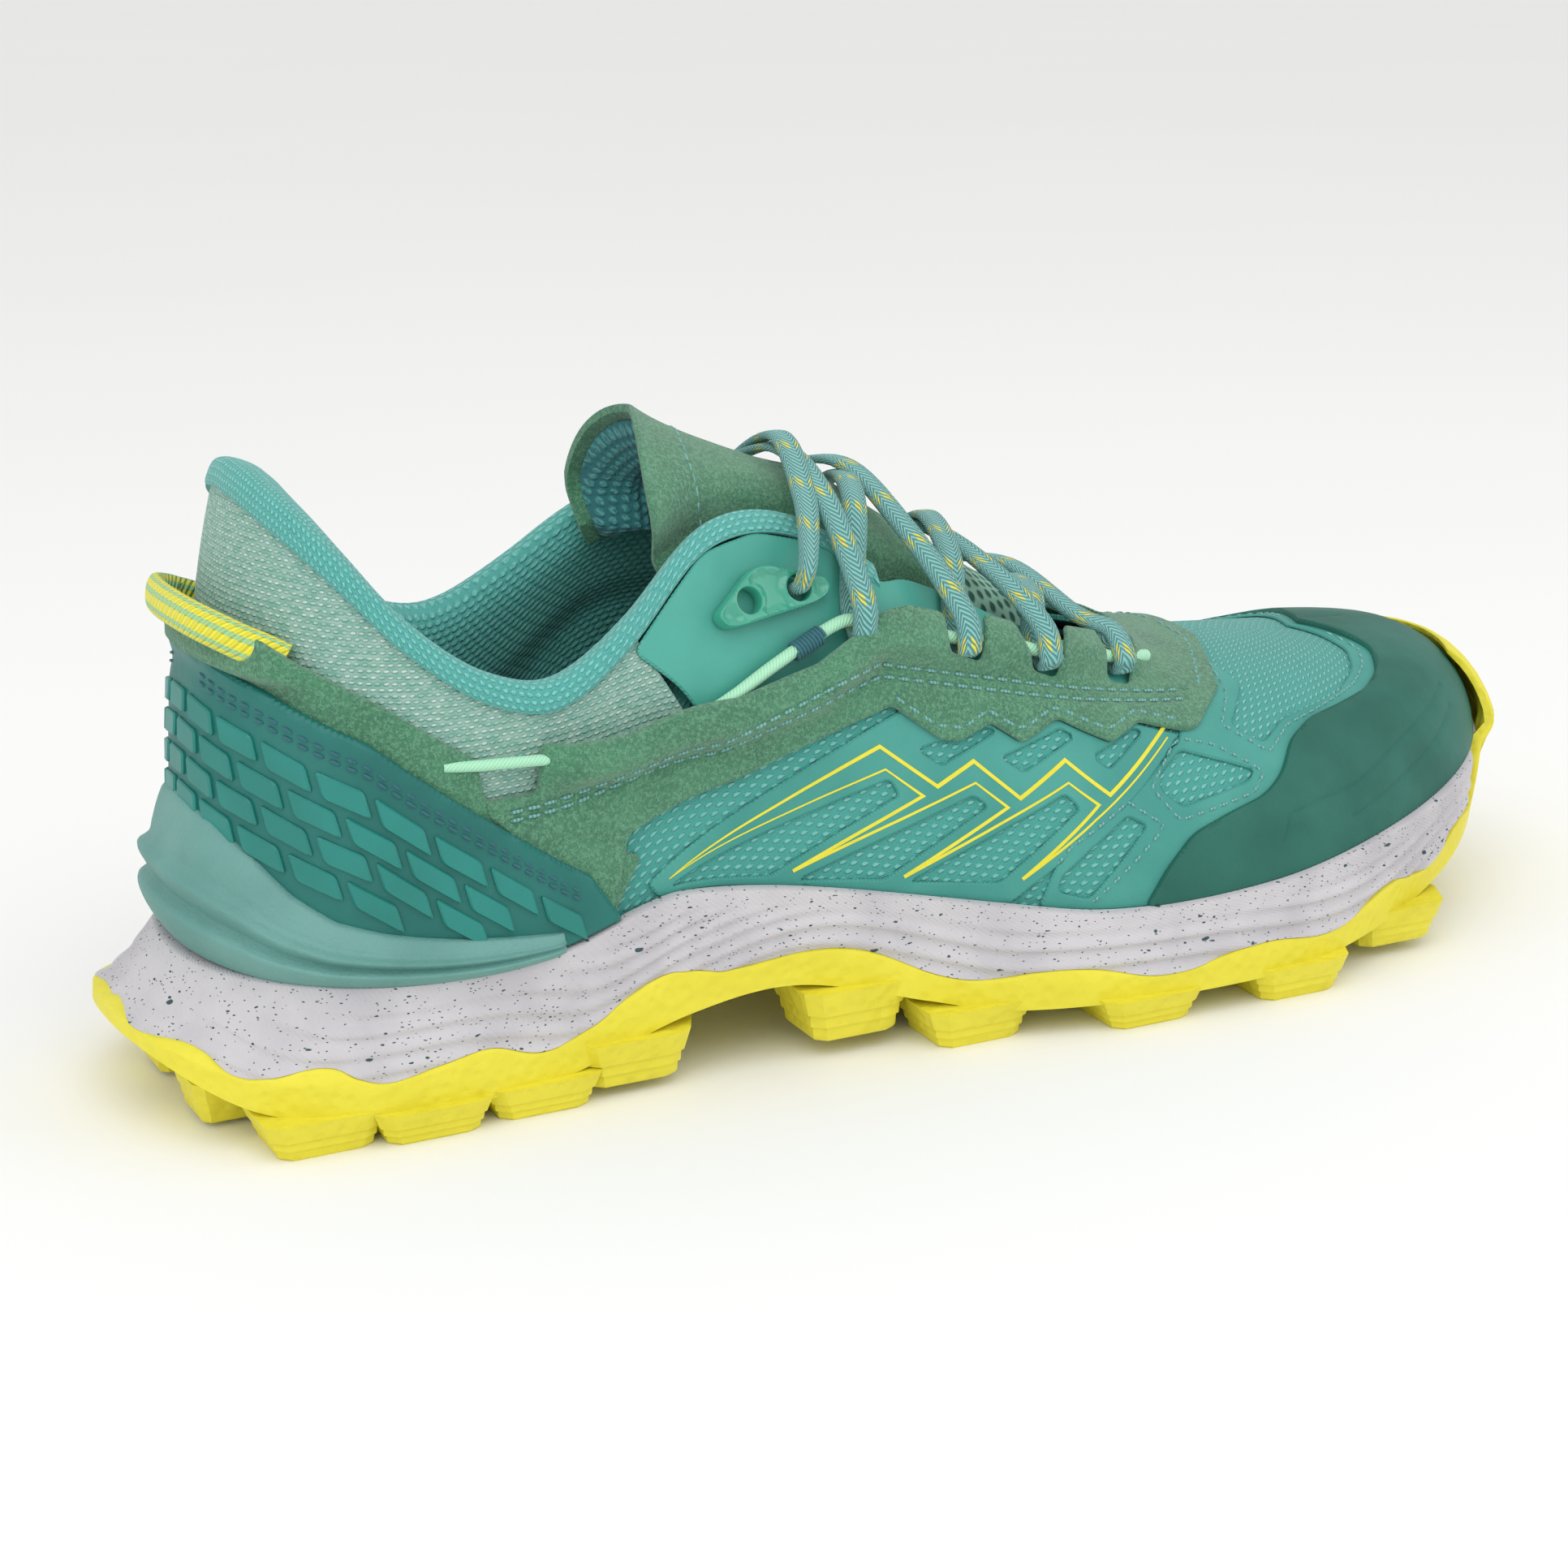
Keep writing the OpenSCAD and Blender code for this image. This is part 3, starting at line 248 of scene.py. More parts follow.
def slab(name, outer, inner, slot, uv=None, body="root", angle=38):
    n, m = outer.shape[:2]
    ids = np.arange(n * m).reshape(n, m)
    top = np.stack([ids[:-1, :-1], ids[1:, :-1], ids[1:, 1:], ids[:-1, 1:]], -1).reshape(-1, 4)
    faces = top.tolist() + (top[:, ::-1] + n * m).tolist()
    ring = list(ids[:, 0]) + list(ids[-1, 1:]) + list(ids[-2::-1, -1]) + list(ids[0, -2:0:-1])
    for a, b in zip(ring, ring[1:] + ring[:1]):
        faces.append([b, a, a + n * m, b + n * m])
    if uv is None:
        uv = np.stack(np.meshgrid(np.arange(n), np.arange(m), indexing="ij"), -1).reshape(-1, 2)
    return solid(name, np.concatenate([outer.reshape(-1, 3), inner.reshape(-1, 3)]), faces, slot,
                 np.concatenate([uv.reshape(-1, 2)] * 2), body, angle)

def spline(points, per):
    p = np.asarray(points, float)
    q = np.concatenate([[2 * p[0] - p[1]], p, [2 * p[-1] - p[-2]]])
    out = []
    for i in range(len(p) - 1):
        a, b, c, d = q[i:i + 4]
        n = per if np.isscalar(per) else per[i]
        for u in np.arange(n) / n:
            bend = (2 * a - 5 * b + 4 * c - d) * u**2 + (3 * b - a - 3 * c + d) * u**3
            out.append(0.5 * (2 * b + (c - a) * u + bend))
    return np.array(out + [p[-1]])

def pipe_parts(path, ups, wide, thick, sides=12, square=2.0):
    path = np.asarray(path, float)
    n = len(path)
    wide, thick = np.broadcast_to(wide, n), np.broadcast_to(thick, n)
    run = unit(np.gradient(path, axis=0))
    across = unit(np.cross(ups, run))
    up = np.cross(run, across)
    a = 2 * np.pi * (np.arange(sides) + 0.5) / sides
    cx = np.sign(np.cos(a)) * np.abs(np.cos(a)) ** (2 / square) / 2
    cy = np.sign(np.sin(a)) * np.abs(np.sin(a)) ** (2 / square) / 2
    rings = (path[:, None] + across[:, None] * (cx[None, :, None] * wide[:, None, None])
             + up[:, None] * (cy[None, :, None] * thick[:, None, None]))
    return rings, run_length(path)

def pipe(name, path, ups, wide, thick, slot, sides=12, square=2.0, body="root", round_uv=8.0):
    rings, length = pipe_parts(path, ups, wide, thick, sides, square)
    rings = np.concatenate([rings, rings[:, :1]], 1)
    n, m = rings.shape[:2]
    ids = np.arange(n * m).reshape(n, m)
    faces = grid_faces(ids)
    faces += [ids[0, :-1].tolist()[::-1], ids[-1, :-1].tolist()]
    uv = np.stack([np.broadcast_to(np.arange(m)[None] / (m - 1) * round_uv, (n, m)),
                   np.broadcast_to(length[:, None], (n, m))], -1)
    return solid(name, rings.reshape(-1, 3), faces, slot, uv.reshape(-1, 2), body, 60)

# %% [markdown]
# Cut pieces, with windows and zigzags, are drawn as outlines of (s, g) corners and cut like cloth. The helper
# rounds the corners, fills the outline with triangles by Blender's own Delaunay tool, keeps what lies
# inside, lifts it off the last with rolled edges, and closes it underneath. Where a piece crosses the heel,
# the toe or the spine, its medial half is welded on.

# %% Rounding an outline's corners
def round_corner(a, b, c, r):
    """Five points round the corner at b, between its neighbours a and c"""
    la, lc = np.linalg.norm(a - b), np.linalg.norm(c - b)
    p = b + (a - b) * min(r, 0.45 * la) / max(la, 1e-6)
    q = b + (c - b) * min(r, 0.45 * lc) / max(lc, 1e-6)
    return [mix(mix(p, b, u), mix(b, q, u), u) for u in (0, 0.25, 0.5, 0.75, 1)]

def flat_outline(points, r=1.5, fine=1.1):
    sg = [(float(s), float(min(g, girth(s)))) for s, g in points]
    xy = [np.array([along(s), g]) for s, g in sg]
    spine = [g >= girth(s) - 0.05 for s, g in sg]
    seam = [s <= 0.01 or s >= 99.99 or on_spine for (s, g), on_spine in zip(sg, spine)]
    n, out, kinds = len(xy), [], []
    for i in range(n):
        sharp = seam[i] or r <= 0
        out += [xy[i]] if sharp else round_corner(xy[i - 1], xy[i], xy[(i + 1) % n], r)
        kinds += [spine[i]] if sharp else [False] * 5
    full = []
    for i in range(len(out)):
        a, b = out[i], out[(i + 1) % len(out)]
        both = kinds[i] and kinds[(i + 1) % len(out)]
        count = max(1, math.ceil(np.linalg.norm(b - a) / fine))
        for u in np.arange(count) / count:
            q = mix(a, b, u)
            if both:
                q = np.array([q[0], girth(station_at(q[0]))])
            if not full or np.linalg.norm(full[-1] - q) > 0.05:
                full.append(q)
    while np.linalg.norm(full[0] - full[-1]) < 0.05:
        full.pop()
    return np.array(full)

# %% Filling an outline with triangles
def inside(p, loop):
    a, b = loop, np.roll(loop, -1, 0)
    x, y = p[:, 0][:, None], p[:, 1][:, None]
    cross = (a[None, :, 1] > y) != (b[None, :, 1] > y)
    with np.errstate(divide="ignore", invalid="ignore"):
        at = a[None, :, 0] + (y - a[None, :, 1]) * (b - a)[None, :, 0] / (b - a)[None, :, 1]
    return (np.sum(cross & (x < at), 1) % 2) == 1

def reach(p, a, b):
    """Distance of each point to the nearest of the lines from a to b"""
    best = np.full(len(p), 1e9)
    for i in range(0, len(a), 200):
        q, r = a[i:i + 200], b[i:i + 200]
        d = r - q
        u = np.sum((p[:, None] - q) * d, -1) / np.maximum(np.sum(d * d, -1), 1e-9)
        away = p[:, None] - q - np.clip(u, 0, 1)[..., None] * d
        best = np.minimum(best, np.linalg.norm(away, axis=-1).min(1))
    return best

def cut(outline, holes=(), grooves=(), step=2.5, edge=0.5, seam=None, hold=1.1):
    """Triangles of a flat piece, each point's distance to its free edge and to its nearest groove"""
    loops = [outline] + list(holes)
    ends, tips = [], []
    for loop in loops:
        nxt = np.roll(loop, -1, 0)
        free = np.ones(len(loop), bool) if seam is None else ~(seam(loop) & seam(nxt))
        ends.append(loop[free])
        tips.append(nxt[free])
    ends, tips = np.concatenate(ends), np.concatenate(tips)
    def filled(p):
        keep = inside(p, outline)
        for h in holes:
            keep &= ~inside(p, h)
        return keep
    def clear(p, d):
        return filled(p) & (reach(p, ends, tips) > d)
    lo, hi = outline.min(0), outline.max(0)
    xs, ys = np.arange(lo[0], hi[0], step), np.arange(lo[1], hi[1], step * 0.87)
    grid = np.array([(x + (k % 2) * step / 2, y) for k, y in enumerate(ys) for x in xs])
    grid = grid[clear(grid, edge * 1.2 + step * 0.25)] if len(grid) else grid
    mids, d = (ends + tips) / 2, unit(tips - ends)
    normal = np.stack([-d[:, 1], d[:, 0]], -1)
    extra = []
    for part in (0.4, 1.1):
        for sign in (1, -1):
            q = mids + normal * edge * part * sign
            extra.append(q[clear(q, edge * part * 0.85)])
    lines = []
    for groove in grooves:
        g = np.asarray(groove, float)
        counts = [max(1, math.ceil(np.linalg.norm(b - a) / hold)) for a, b in zip(g[:-1], g[1:])]
        fine = [mix(a, b, np.arange(k)[:, None] / k) for a, b, k in zip(g[:-1], g[1:], counts)]
        fine = np.concatenate(fine + [g[-1:]])
        w = unit(np.gradient(fine, axis=0))
        w = np.stack([-w[:, 1], w[:, 0]], -1)
        lines.append(fine)
        for off in (0.35, -0.35, 0.8, -0.8):
            q = fine + w * off
            extra.append(q[clear(q, 0.3)])
    if lines:
        starts = np.concatenate([line[:-1] for line in lines])
        stops = np.concatenate([line[1:] for line in lines])
    points, edges = [], []
    for loop in loops:
        k = len(points)
        points += loop.tolist()
        edges += [(k + i, k + (i + 1) % len(loop)) for i in range(len(loop))]
    for line in lines:
        points += line[clear(line, 0.3)].tolist()
    for q in extra + [grid]:
        points += q.tolist()
    got = delaunay_2d_cdt([Vector(p) for p in points], edges, [], 0, 1e-4)
    xy = np.array([tuple(v) for v in got[0]])
    tri = np.array([f for f in got[2] if len(f) == 3])
    mid = xy[tri].mean(1)
    area = np.cross(xy[tri[:, 1]] - xy[tri[:, 0]], xy[tri[:, 2]] - xy[tri[:, 0]])
    keep = filled(mid) & (np.abs(area) > 1e-7)
    tri, area = tri[keep], area[keep]
    tri[area < 0] = tri[area < 0][:, ::-1]
    used, tri = np.unique(tri, return_inverse=True)
    xy, tri = xy[used], tri.reshape(-1, 3)
    near = reach(xy, starts, stops) if lines else np.full(len(xy), 9.0)
    return xy, tri, reach(xy, ends, tips), near

# %% From a flat cut to a piece on the last
def rolled(dist, edge):
    """How far a rounded edge has dropped at a distance from it"""
    return edge * (1 - np.sqrt(np.maximum(0, 1 - (1 - np.clip(dist / edge, 0, 1)) ** 2)))

def close_cut(xy, tri, top, bottom, is_seam):
    """Top, bottom and the walls between them, but no wall along a seam"""
    n = len(xy)
    faces = tri.tolist() + (tri[:, ::-1] + n).tolist()
    count = {}
    for a, b, c in tri:
        for e in ((a, b), (b, c), (c, a)):
            key = (min(e), max(e))
            count[key] = None if key in count else e
    for e in count.values():
        if e is not None and not (is_seam[e[0]] and is_seam[e[1]]):
            a, b = int(e[0]), int(e[1])
            faces.append([b, a, a + n, b + n])
    return np.concatenate([top, bottom]), faces

def on_seam(xy):
    s = station_at(xy[:, 0])
    return (s < 0.03) | (s > 99.97) | (xy[:, 1] > girth(s) - 0.08)

def patch(name, outline, layer, slot, holes=(), grooves=(), depth=0.4, step=2.5, edge=0.5, r=1.5,
          sides=(1, -1), relief=None, lift=None, body="root"):
    """A cut piece lying between two distances off the last, on one side or both"""
    border = flat_outline(outline, r)
    cuts = [flat_outline(h, min(r, 1.2), 0.8) for h in holes]
    lines = [np.stack([along(np.array(g)[:, 0]), np.array(g)[:, 1]], -1) for g in grooves]
    xy, tri, dist, near = cut(border, cuts, lines, step, edge, on_seam)
    s, g = station_at(xy[:, 0]), np.minimum(xy[:, 1], girth(station_at(xy[:, 0])))
    high = layer[1] - rolled(dist, edge) - depth * np.exp(-(near / 0.45) ** 2)
    low = np.full(len(xy), float(layer[0]))
    if relief is not None:
        high = high + relief(s, g, xy, dist)
    if lift is not None:
        high, low = high + lift(s, g), low + lift(s, g)
    seam = on_seam(xy)
    points, faces, uv, base = [], [], [], 0
    for side in sides:
        p, f = close_cut(xy, tri, put(s, g, high, side), put(s, g, low, side), seam)
        u = xy[:, 0] if side > 0 else (2 * LONG_X[-1] - xy[:, 0] if s.max() > 90 else -xy[:, 0])
        points.append(p)
        faces += [[k + base for k in (q if side > 0 else q[::-1])] for q in f]
        uv.append(np.tile(np.stack([u, xy[:, 1]], -1), (2, 1)))
        base += len(p)
    made = solid(name, np.concatenate(points), faces, slot, np.concatenate(uv), body)
    print(name, "has", len(made.data.polygons), "faces")
    return made

def soft(points, per=5):
    """The outline's corners as one smooth curve"""
    return [tuple(p) for p in spline(points, per)]

# %% [markdown]
# The sole's side wall leans out at the foot and in at the lip. The rubber climbs it in scallops over the
# lugs and right up over the toe. The foam above it has wavy level ribs, moulded in, which are made here by
# moving rows of points in and out.

# %% The sole's side
BLEND = [[0, 0], [0.3, 0.12], [0.6, 0.5], [1, 1], [1.3, 1.1]]
FLARE = [[0, 0], [0.3, 1], [0.6, 2.6], [1, 4.4], [1.3, 4.2]]
WALL_T, BUMPER_G, BUMPER_LIFT = 1.9, 19, 7.7

def ring_s(s):
    return np.where(s > 100, 200 - s, s)

def heelness(s):
    return np.maximum(0, 1 - (ring_s(s) / 31) ** 2)

def climb(s):
    """How far up the side the rubber goes: 0 foot, 1 lip, 2 right up over the toe"""
    wave = 0.36 + 0.07 * np.cos(2 * np.pi * s / 9)
    return mix(wave, 2.0, np.clip((ring_s(s) - 86) / 5, 0, 1))

def sole_side(s, t, more):
    """Point on the sole's side at place s and height t, moved outwards by more"""
    s, t, more = np.broadcast_arrays(np.asarray(s, float), np.asarray(t, float), np.asarray(more, float))
    u = lookup(BLEND, np.minimum(t, 1.3))[..., None]
    p = mix(rim(SOLE, s), rim(LAST, s), u)
    out = lookup(FLARE, np.minimum(t, 1.3)) + 3.5 * t * heelness(s)
    q = p + (out + more)[..., None] * unit(mix(rim_out(SOLE, s), rim_out(LAST, s), u))
    z = mix(smooth(PLATE_Z, p[..., 0]), smooth(MID_TOP, p[..., 0]), t)
    low = np.concatenate([q, z[..., None]], -1) - MIDDLE
    over = np.clip(t - 1, 0, 1)
    high = skin(s, mix(FEATHER, BUMPER_G, over), mix(BUMPER_LIFT, 4.7, over) + more * mix(1, 0.6, over))
    w = np.clip((t - 0.85) / 0.3, 0, 1)[..., None] * (ring_s(s) > 88)[..., None]
    return mix(low, high, w)

def stack(rings, name, slot, uv=None, angle=38):
    rings = np.asarray(rings)
    r, n = rings.shape[:2]
    rings = np.concatenate([rings, rings[:, :1]], 1)
    ids = np.arange(r * (n + 1)).reshape(r, n + 1)
    faces = grid_faces(ids)
    points, half = rings.reshape(-1, 3).tolist(), n // 2
    for k, ring in ((0, rings[0]), (r - 1, rings[-1])):
        rows = []
        for i in range(1, half):
            a, b = ring[i], ring[n - i]
            rows.append([ids[k, i]] + list(range(len(points), len(points) + 5)) + [ids[k, n - i]])
            points += [mix(a, b, u).tolist() for u in np.arange(1, 6) / 6]
        for p, q in zip(rows, rows[1:]):
            faces += [[p[j], p[j + 1], q[j + 1], q[j]] for j in range(6)]
        faces += [[ids[k, 0]] + rows[0][::-1], [ids[k, half]] + rows[-1]]
    if uv is not None:
        uv = np.concatenate([uv.reshape(-1, 2), np.zeros((len(points) - r * (n + 1), 2))])
    return solid(name, points, faces, slot, uv, "root", angle)

AROUND = 480
ring = np.arange(AROUND) * 200 / AROUND
ring_uv = np.concatenate([ring, [200]]) * 3.4

# %% [markdown]
# The lugs are one block, modelled once: a five-sided primitive is shaped to an arrow, drawn up with extrude
# and scale so that its side has three small steps, bevelled, and copied to every place on the tread.

# %% One lug
bpy.ops.object.select_all(action="DESELECT")
bpy.ops.mesh.primitive_circle_add(vertices=10, radius=1, fill_type="NGON", location=(0, 0, 0))
lug = bpy.context.object
arrow = [(-0.5, -0.38), (-0.38, -0.5), (0.36, -0.5), (0.5, -0.42), (0.66, -0.06), (0.66, 0.06), (0.5, 0.42),
         (0.36, 0.5), (-0.38, 0.5), (-0.5, 0.38)]
for vert, place in zip(lug.data.vertices, arrow):
    vert.co = (place[0], place[1], 0)
bpy.ops.object.mode_set(mode="EDIT")
bpy.ops.mesh.select_all(action="SELECT")
bpy.ops.mesh.inset(thickness=0.035, depth=0)
bpy.ops.mesh.select_all(action="SELECT")
bpy.ops.mesh.region_to_loop()
for up, grow in ((0.06, 1.04), (0.22, 1.02), (0.0, 1.05), (0.24, 1.02), (0.0, 1.05), (0.48, 1.12)):
    bpy.ops.mesh.extrude_edges_move(TRANSFORM_OT_translate={"value": (0, 0, up)})
    bpy.ops.transform.resize(value=(grow, grow, 1))
bpy.ops.mesh.edge_face_add()
bpy.ops.object.mode_set(mode="OBJECT")
LUG_P = np.array([tuple(v.co) for v in lug.data.vertices])
LUG_F = [list(f.vertices) for f in lug.data.polygons]
bpy.data.objects.remove(lug)
print("one lug has", len(LUG_F), "faces")

# %% The lugs in their rows
def lug_rows():
    rows = [([-115, -97, -77, -60, -18, 4, 36, 68, 97], -1, 11, 14),
            ([-113, -94, -75, -58, -14, 12, 42, 72, 98], 1, 11, 14)]
    rows += [([-6, 16, 38, 60, 82, 104], f, 10, 12) for f in (-0.32, 0.32)] + [([-84, -66], 0, 10, 12)]
    rows += [([-125, 122], f, 9, 12) for f in (-0.5, 0.5)]
    for xs, f, l, w in rows:
        for x in xs:
            half = smooth(SOLE[5 if f < 0 else 6], x) * cap((x - SOLE[0]) / SOLE[2], 2.3)
            half = half * cap((SOLE[1] - x) / SOLE[3 if f < 0 else 4], 2.2)
            yield x, float(smooth(SOLE[7], x) + f * (half - w * 0.62)), l, w
points, faces = [], []
for x, y, l, w in lug_rows():
    foot, root = max(0, float(smooth(FACE_Z, x))), float(smooth(PLATE_Z, x)) + 1.5
    wide, out = (1.4, 1.6 * math.copysign(1, y)) if l == 11 else (1.1, 0)
    block = LUG_P * [l * wide, w, root - foot] + [x, y + out, foot] - MIDDLE
    faces += [[k + len(points) for k in f] for f in LUG_F]
    points += block.tolist()
print("the tread has", len(points) // len(LUG_P), "lugs")

# %% [markdown]
# The outsole is a thin rubber shell: up the outside to its scalloped edge, over it and down the inside. Its
# skin between the lugs has scales, and its faces a pebble, which the rubber's finish gives as bump.

# %% The outsole
part = np.concatenate([np.linspace(0, 0.92, 12), [0.97, 0.995]])
top = climb(ring)
shell = [sole_side(ring, 0, -2.5)]
shell += [sole_side(ring, mix(0.03, top, u), 0.15 - rolled(np.full(AROUND, (1 - u) * 8), 0.5))
          for u in part]
shell += [sole_side(ring, top, -0.8)]
shell += [sole_side(ring, mix(0.12, top, u), -WALL_T) for u in (0.98, 0.75, 0.5, 0)]
shell.append(sole_side(ring, 0, -WALL_T - 1) + [0, 0, 3])
shell_uv = np.stack(np.broadcast_arrays(ring_uv[None], np.linspace(0, 30, len(shell))[:, None]), -1)
outsole = stack(shell, "outsole_shell", "outsole_rubber", shell_uv)
tread = solid("outsole_lugs", points, faces, "outsole_rubber", None, "root", 30)
bpy.ops.object.select_all(action="DESELECT")
outsole.select_set(True)
tread.select_set(True)
bpy.context.view_layer.objects.active = outsole
finishes["outsole_rubber"].remove(tread)
bpy.ops.object.join()
outsole.name = "outsole_moulding"
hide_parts("outsole")
print("outsole faces", len(outsole.data.polygons))

# %% [markdown]
# The midsole is foam. Its wall swells and pulls in along level ribs that wander up and down, and a smooth
# lip runs above them under the upper.

# %% The midsole
low_t = np.minimum(climb(ring), 0.9)
room = WALL_T + 0.6
under = -room * np.clip((ring_s(ring) - 83) / 3.5, 0, 1)
height = smooth(MID_TOP, rim_x(LAST, ring)) - smooth(PLATE_Z, rim_x(SOLE, ring))
foam = [sole_side(ring, 0.05, -room - 1), sole_side(ring, 0.3, -room), sole_side(ring, low_t, -room)]
foam_v = [0, 3, 5]
for u in np.linspace(0, 1, 60):
    t = mix(low_t + 0.002, 0.985, u)
    up = t * height
    sway = 1.2 * np.sin(ring * 0.21) + 0.8 * np.sin(ring * 0.37 + 1)
    rib = np.sin(2 * np.pi * (up + sway) / 3.4)
    calm = np.clip((0.985 - t) * height / 3.2 - 0.7, 0, 1) * np.clip(1.15 - np.abs(ring_s(ring)
            - 62) / 60, 0.7, 1)
    crisp = np.sign(rib) * np.abs(rib) ** 0.7
    foam.append(sole_side(ring, t, under + 0.42 * crisp * calm - 0.1))
    foam_v.append(6 + 24 * u)
for t, more, v in ((0.993, -0.35, 31), (1.0, -0.8, 32), (1.0, -2.2, 33)):
    foam.append(sole_side(ring, t, under + more))
    foam_v.append(v)
under_foot = skin(ring, np.full(AROUND, 1.0), 1.2)
foam += [under_foot, under_foot - [0, 0, 1]]
foam_v += [34, 35]
foam_uv = np.stack(np.broadcast_arrays(ring_uv[None], np.array(foam_v, float)[:, None]), -1)
midsole = stack(foam, "midsole_foam", "midsole_foam", foam_uv)
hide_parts("midsole")
print("midsole faces", len(midsole.data.polygons))

# %% [markdown]
# The heel cradle is a soft moulded plastic, cupped round the heel with bulging ridges that fade forwards.
# One wall of points takes its section from a smooth curve, so the ridges stay round.

# %% The heel cradle
CRADLE_TOP = [[0, 26], [5, 24.5], [9, 21], [12, 16], [15, 12.5], [18, 11], [28, 7], [32, 6]]
RIDGES = [[0, 2.0], [0.1, 3.6], [0.22, 4.9], [0.31, 5.1], [0.37, 3.2], [0.45, 4.0], [0.56, 5.0],
          [0.62, 3.1], [0.72, 2.4], [0.86, 1.5], [1, 0.3]]
def sole_g(s):
    x = rim_x(LAST, np.abs(s))
    return np.maximum(2, FEATHER + 0.3 + smooth(MID_TOP, x) - smooth(LIP_Z, x))
CRADLE_END = 28.5
cs, cv = np.linspace(-CRADLE_END, CRADLE_END, 150), np.linspace(0, 1, 46)
lo, hi = sole_g(cs) - 0.6, np.maximum(lookup(CRADLE_TOP, np.abs(cs)), sole_g(cs) + 1)
S, V = np.meshgrid(cs, cv, indexing="ij")
G = mix(lo[:, None], hi[:, None], V)
ease = np.clip(1 - (np.abs(S) / 31) ** 3, 0, 1)
bulge = smooth(RIDGES, V) * ease
edge_roll = rolled(np.minimum((1 - V) * 14, (CRADLE_END - np.abs(S)) * 3.4), 0.7)
outer, inner = skin(S, G, 4.9 + bulge - edge_roll), skin(S, G, 3.6)
cradle = slab("heel_cradle_moulding", outer, inner, "cradle_tpu", np.stack([S * 3.4, G], -1))
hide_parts("heel_cradle")

# %% [markdown]
# The upper's ground is one spacer mesh over the forefoot and the quarters. It is plain cloth, so it is cut
# as one patch with its finish doing the work. The knit round the heel is the second ground.

# %% The mesh and the knit
SPINE_G = 999  # any height past the spine is brought back to the spine
TOPLINE = [[0, 80], [4, 79], [10, 75], [15, 68.5], [20, 58.5], [25, 49.5], [29, 46.6], [33, 52.5],
    [37, 65], [40, 69.5], [43, 69], [46, 62.5]]
mesh_edge = [(31.4, 2), (100, 2), (100, SPINE_G), (62, SPINE_G), (58, 52), (45, 52), (38, 36),
             (36.4, 26.5), (31, 26)]
mesh_upper = patch("mesh_upper_cloth", mesh_edge, SKIN_D, "upper_mesh", step=2.2, edge=0.3, r=1)
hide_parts("mesh_upper")
top_edge = soft([(s, g - 0.3) for s, g in TOPLINE if s <= 36], 4)
knit_edge = [(0, 2), (31, 2), (31, 27), (35.5, 27), (36, 34)] + top_edge[::-1]
knit = patch("collar_knit_cloth", knit_edge, SKIN_D, "collar_knit", step=2.2, edge=0.3, r=0)
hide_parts("collar_knit")

# %% [markdown]
# Over the mesh lies a thin film with slanting windows, and on it a raised yellow line. Each window is a
# hole in the outline; the printed line is a thin ribbon laid on the film afterwards.

# %% The side film with its windows
FILM = [(34, 5.4), (33.4, 8.5), (46.2, 38.6), (48.2, 34), (50.2, 38), (51.6, 35), (53.5, 40), (56, 35.4),
        (57.7, 38.5),
        (60.2, 35), (61, 38), (59.6, 33.5), (56.6, 24.5), (54, 17.5), (51.6, 9), (50.6, 5.4)]
FILM_WINDOWS = [[(34.6, 6.9), (45.3, 25.9), (45.7, 23.2), (39.5, 7.4)], [(40.9, 6.8), (49.2, 24.5),
        (49.8, 22.8), (44.9, 8)],
                [(46.1, 8), (53.4, 26.2), (54, 23.7), (50.2, 9.4)], [(46.7, 31.6), (47.8, 29.3),
                        (50.6, 36.4), (49.9, 37)],
                [(50.6, 31.6), (51.6, 29.5), (54.3, 36.6), (53.7, 37.9)], [(55, 32.8), (55.7, 30.4),
                        (58, 36.6), (57.6, 37.4)]]
for side, name in SIDES:
    film = patch("side_film_" + name, FILM, FILM_D, "film", FILM_WINDOWS, step=2.2, edge=0.4, r=1.2,
                 sides=(side,))
    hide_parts("film_overlay_" + name)

# %% The forefoot film
FRONT = [(51.9, 5.4), (52.7, 13.2), (53.5, 17.1), (56.3, 24.4), (60, 34.2), (61, 42), (65.2, 52),
         (65.8, 43), (63.4, 34.8),
         (64.8, 29.6), (67.1, 32.9), (73, 32.4), (76.4, 34.7), (79, 38.5), (80.2, 46), (80.6, SPINE_G),
         (100, SPINE_G), (100, 5.4)]
FRONT_WINDOWS = [[(56.2, 21.9), (57.1, 19.9), (54.2, 7.6), (52.8, 8.6), (53, 11.5), (54.4, 16.6)],
                 [(59.8, 32), (58.3, 28.4), (58.1, 25.8), (59.1, 22), (63.1, 23.8), (63.6, 25.3),
                  (62.3, 27.8)]]
forefoot = patch("forefoot_film", FRONT, FILM_D, "film", FRONT_WINDOWS, step=2.4, edge=0.4, r=1.5)
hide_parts("forefoot_overlay")

# %% [markdown]
# The toe cap is a rubberised film with short moulded lines pressed into it. Points are added along each line,
# so it can be pressed in sharply without a fine mesh everywhere.

# %% The toe cap
CAP = [(56.6, 5.2), (57.8, 12), (59.3, 17.2), (61.5, 19.3), (63.7, 20.6), (65, 23), (66.5, 28.3),
       (68.7, 30.5), (75.1, 29.6),
       (78.2, 30.8), (81.4, 34.5), (82.2, 44), (82.6, SPINE_G), (100, SPINE_G), (100, 5.2)]
CAP_LINES = [[(64.2, 11.8), (64.8, 15.8), (67.5, 16), (69.6, 15.6), (74.6, 18.1), (76.3, 18.4),
              (83.8, 19.5)],
             [(68.9, 10.7), (70.6, 11.2), (77.8, 13.8), (82.9, 15.9)]]
toe_cap = patch("toe_cap_film", CAP, CAP_D, "toe_film", (), CAP_LINES, 0.3, 2.4, 0.7, 2.5)
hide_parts("toe_cap")

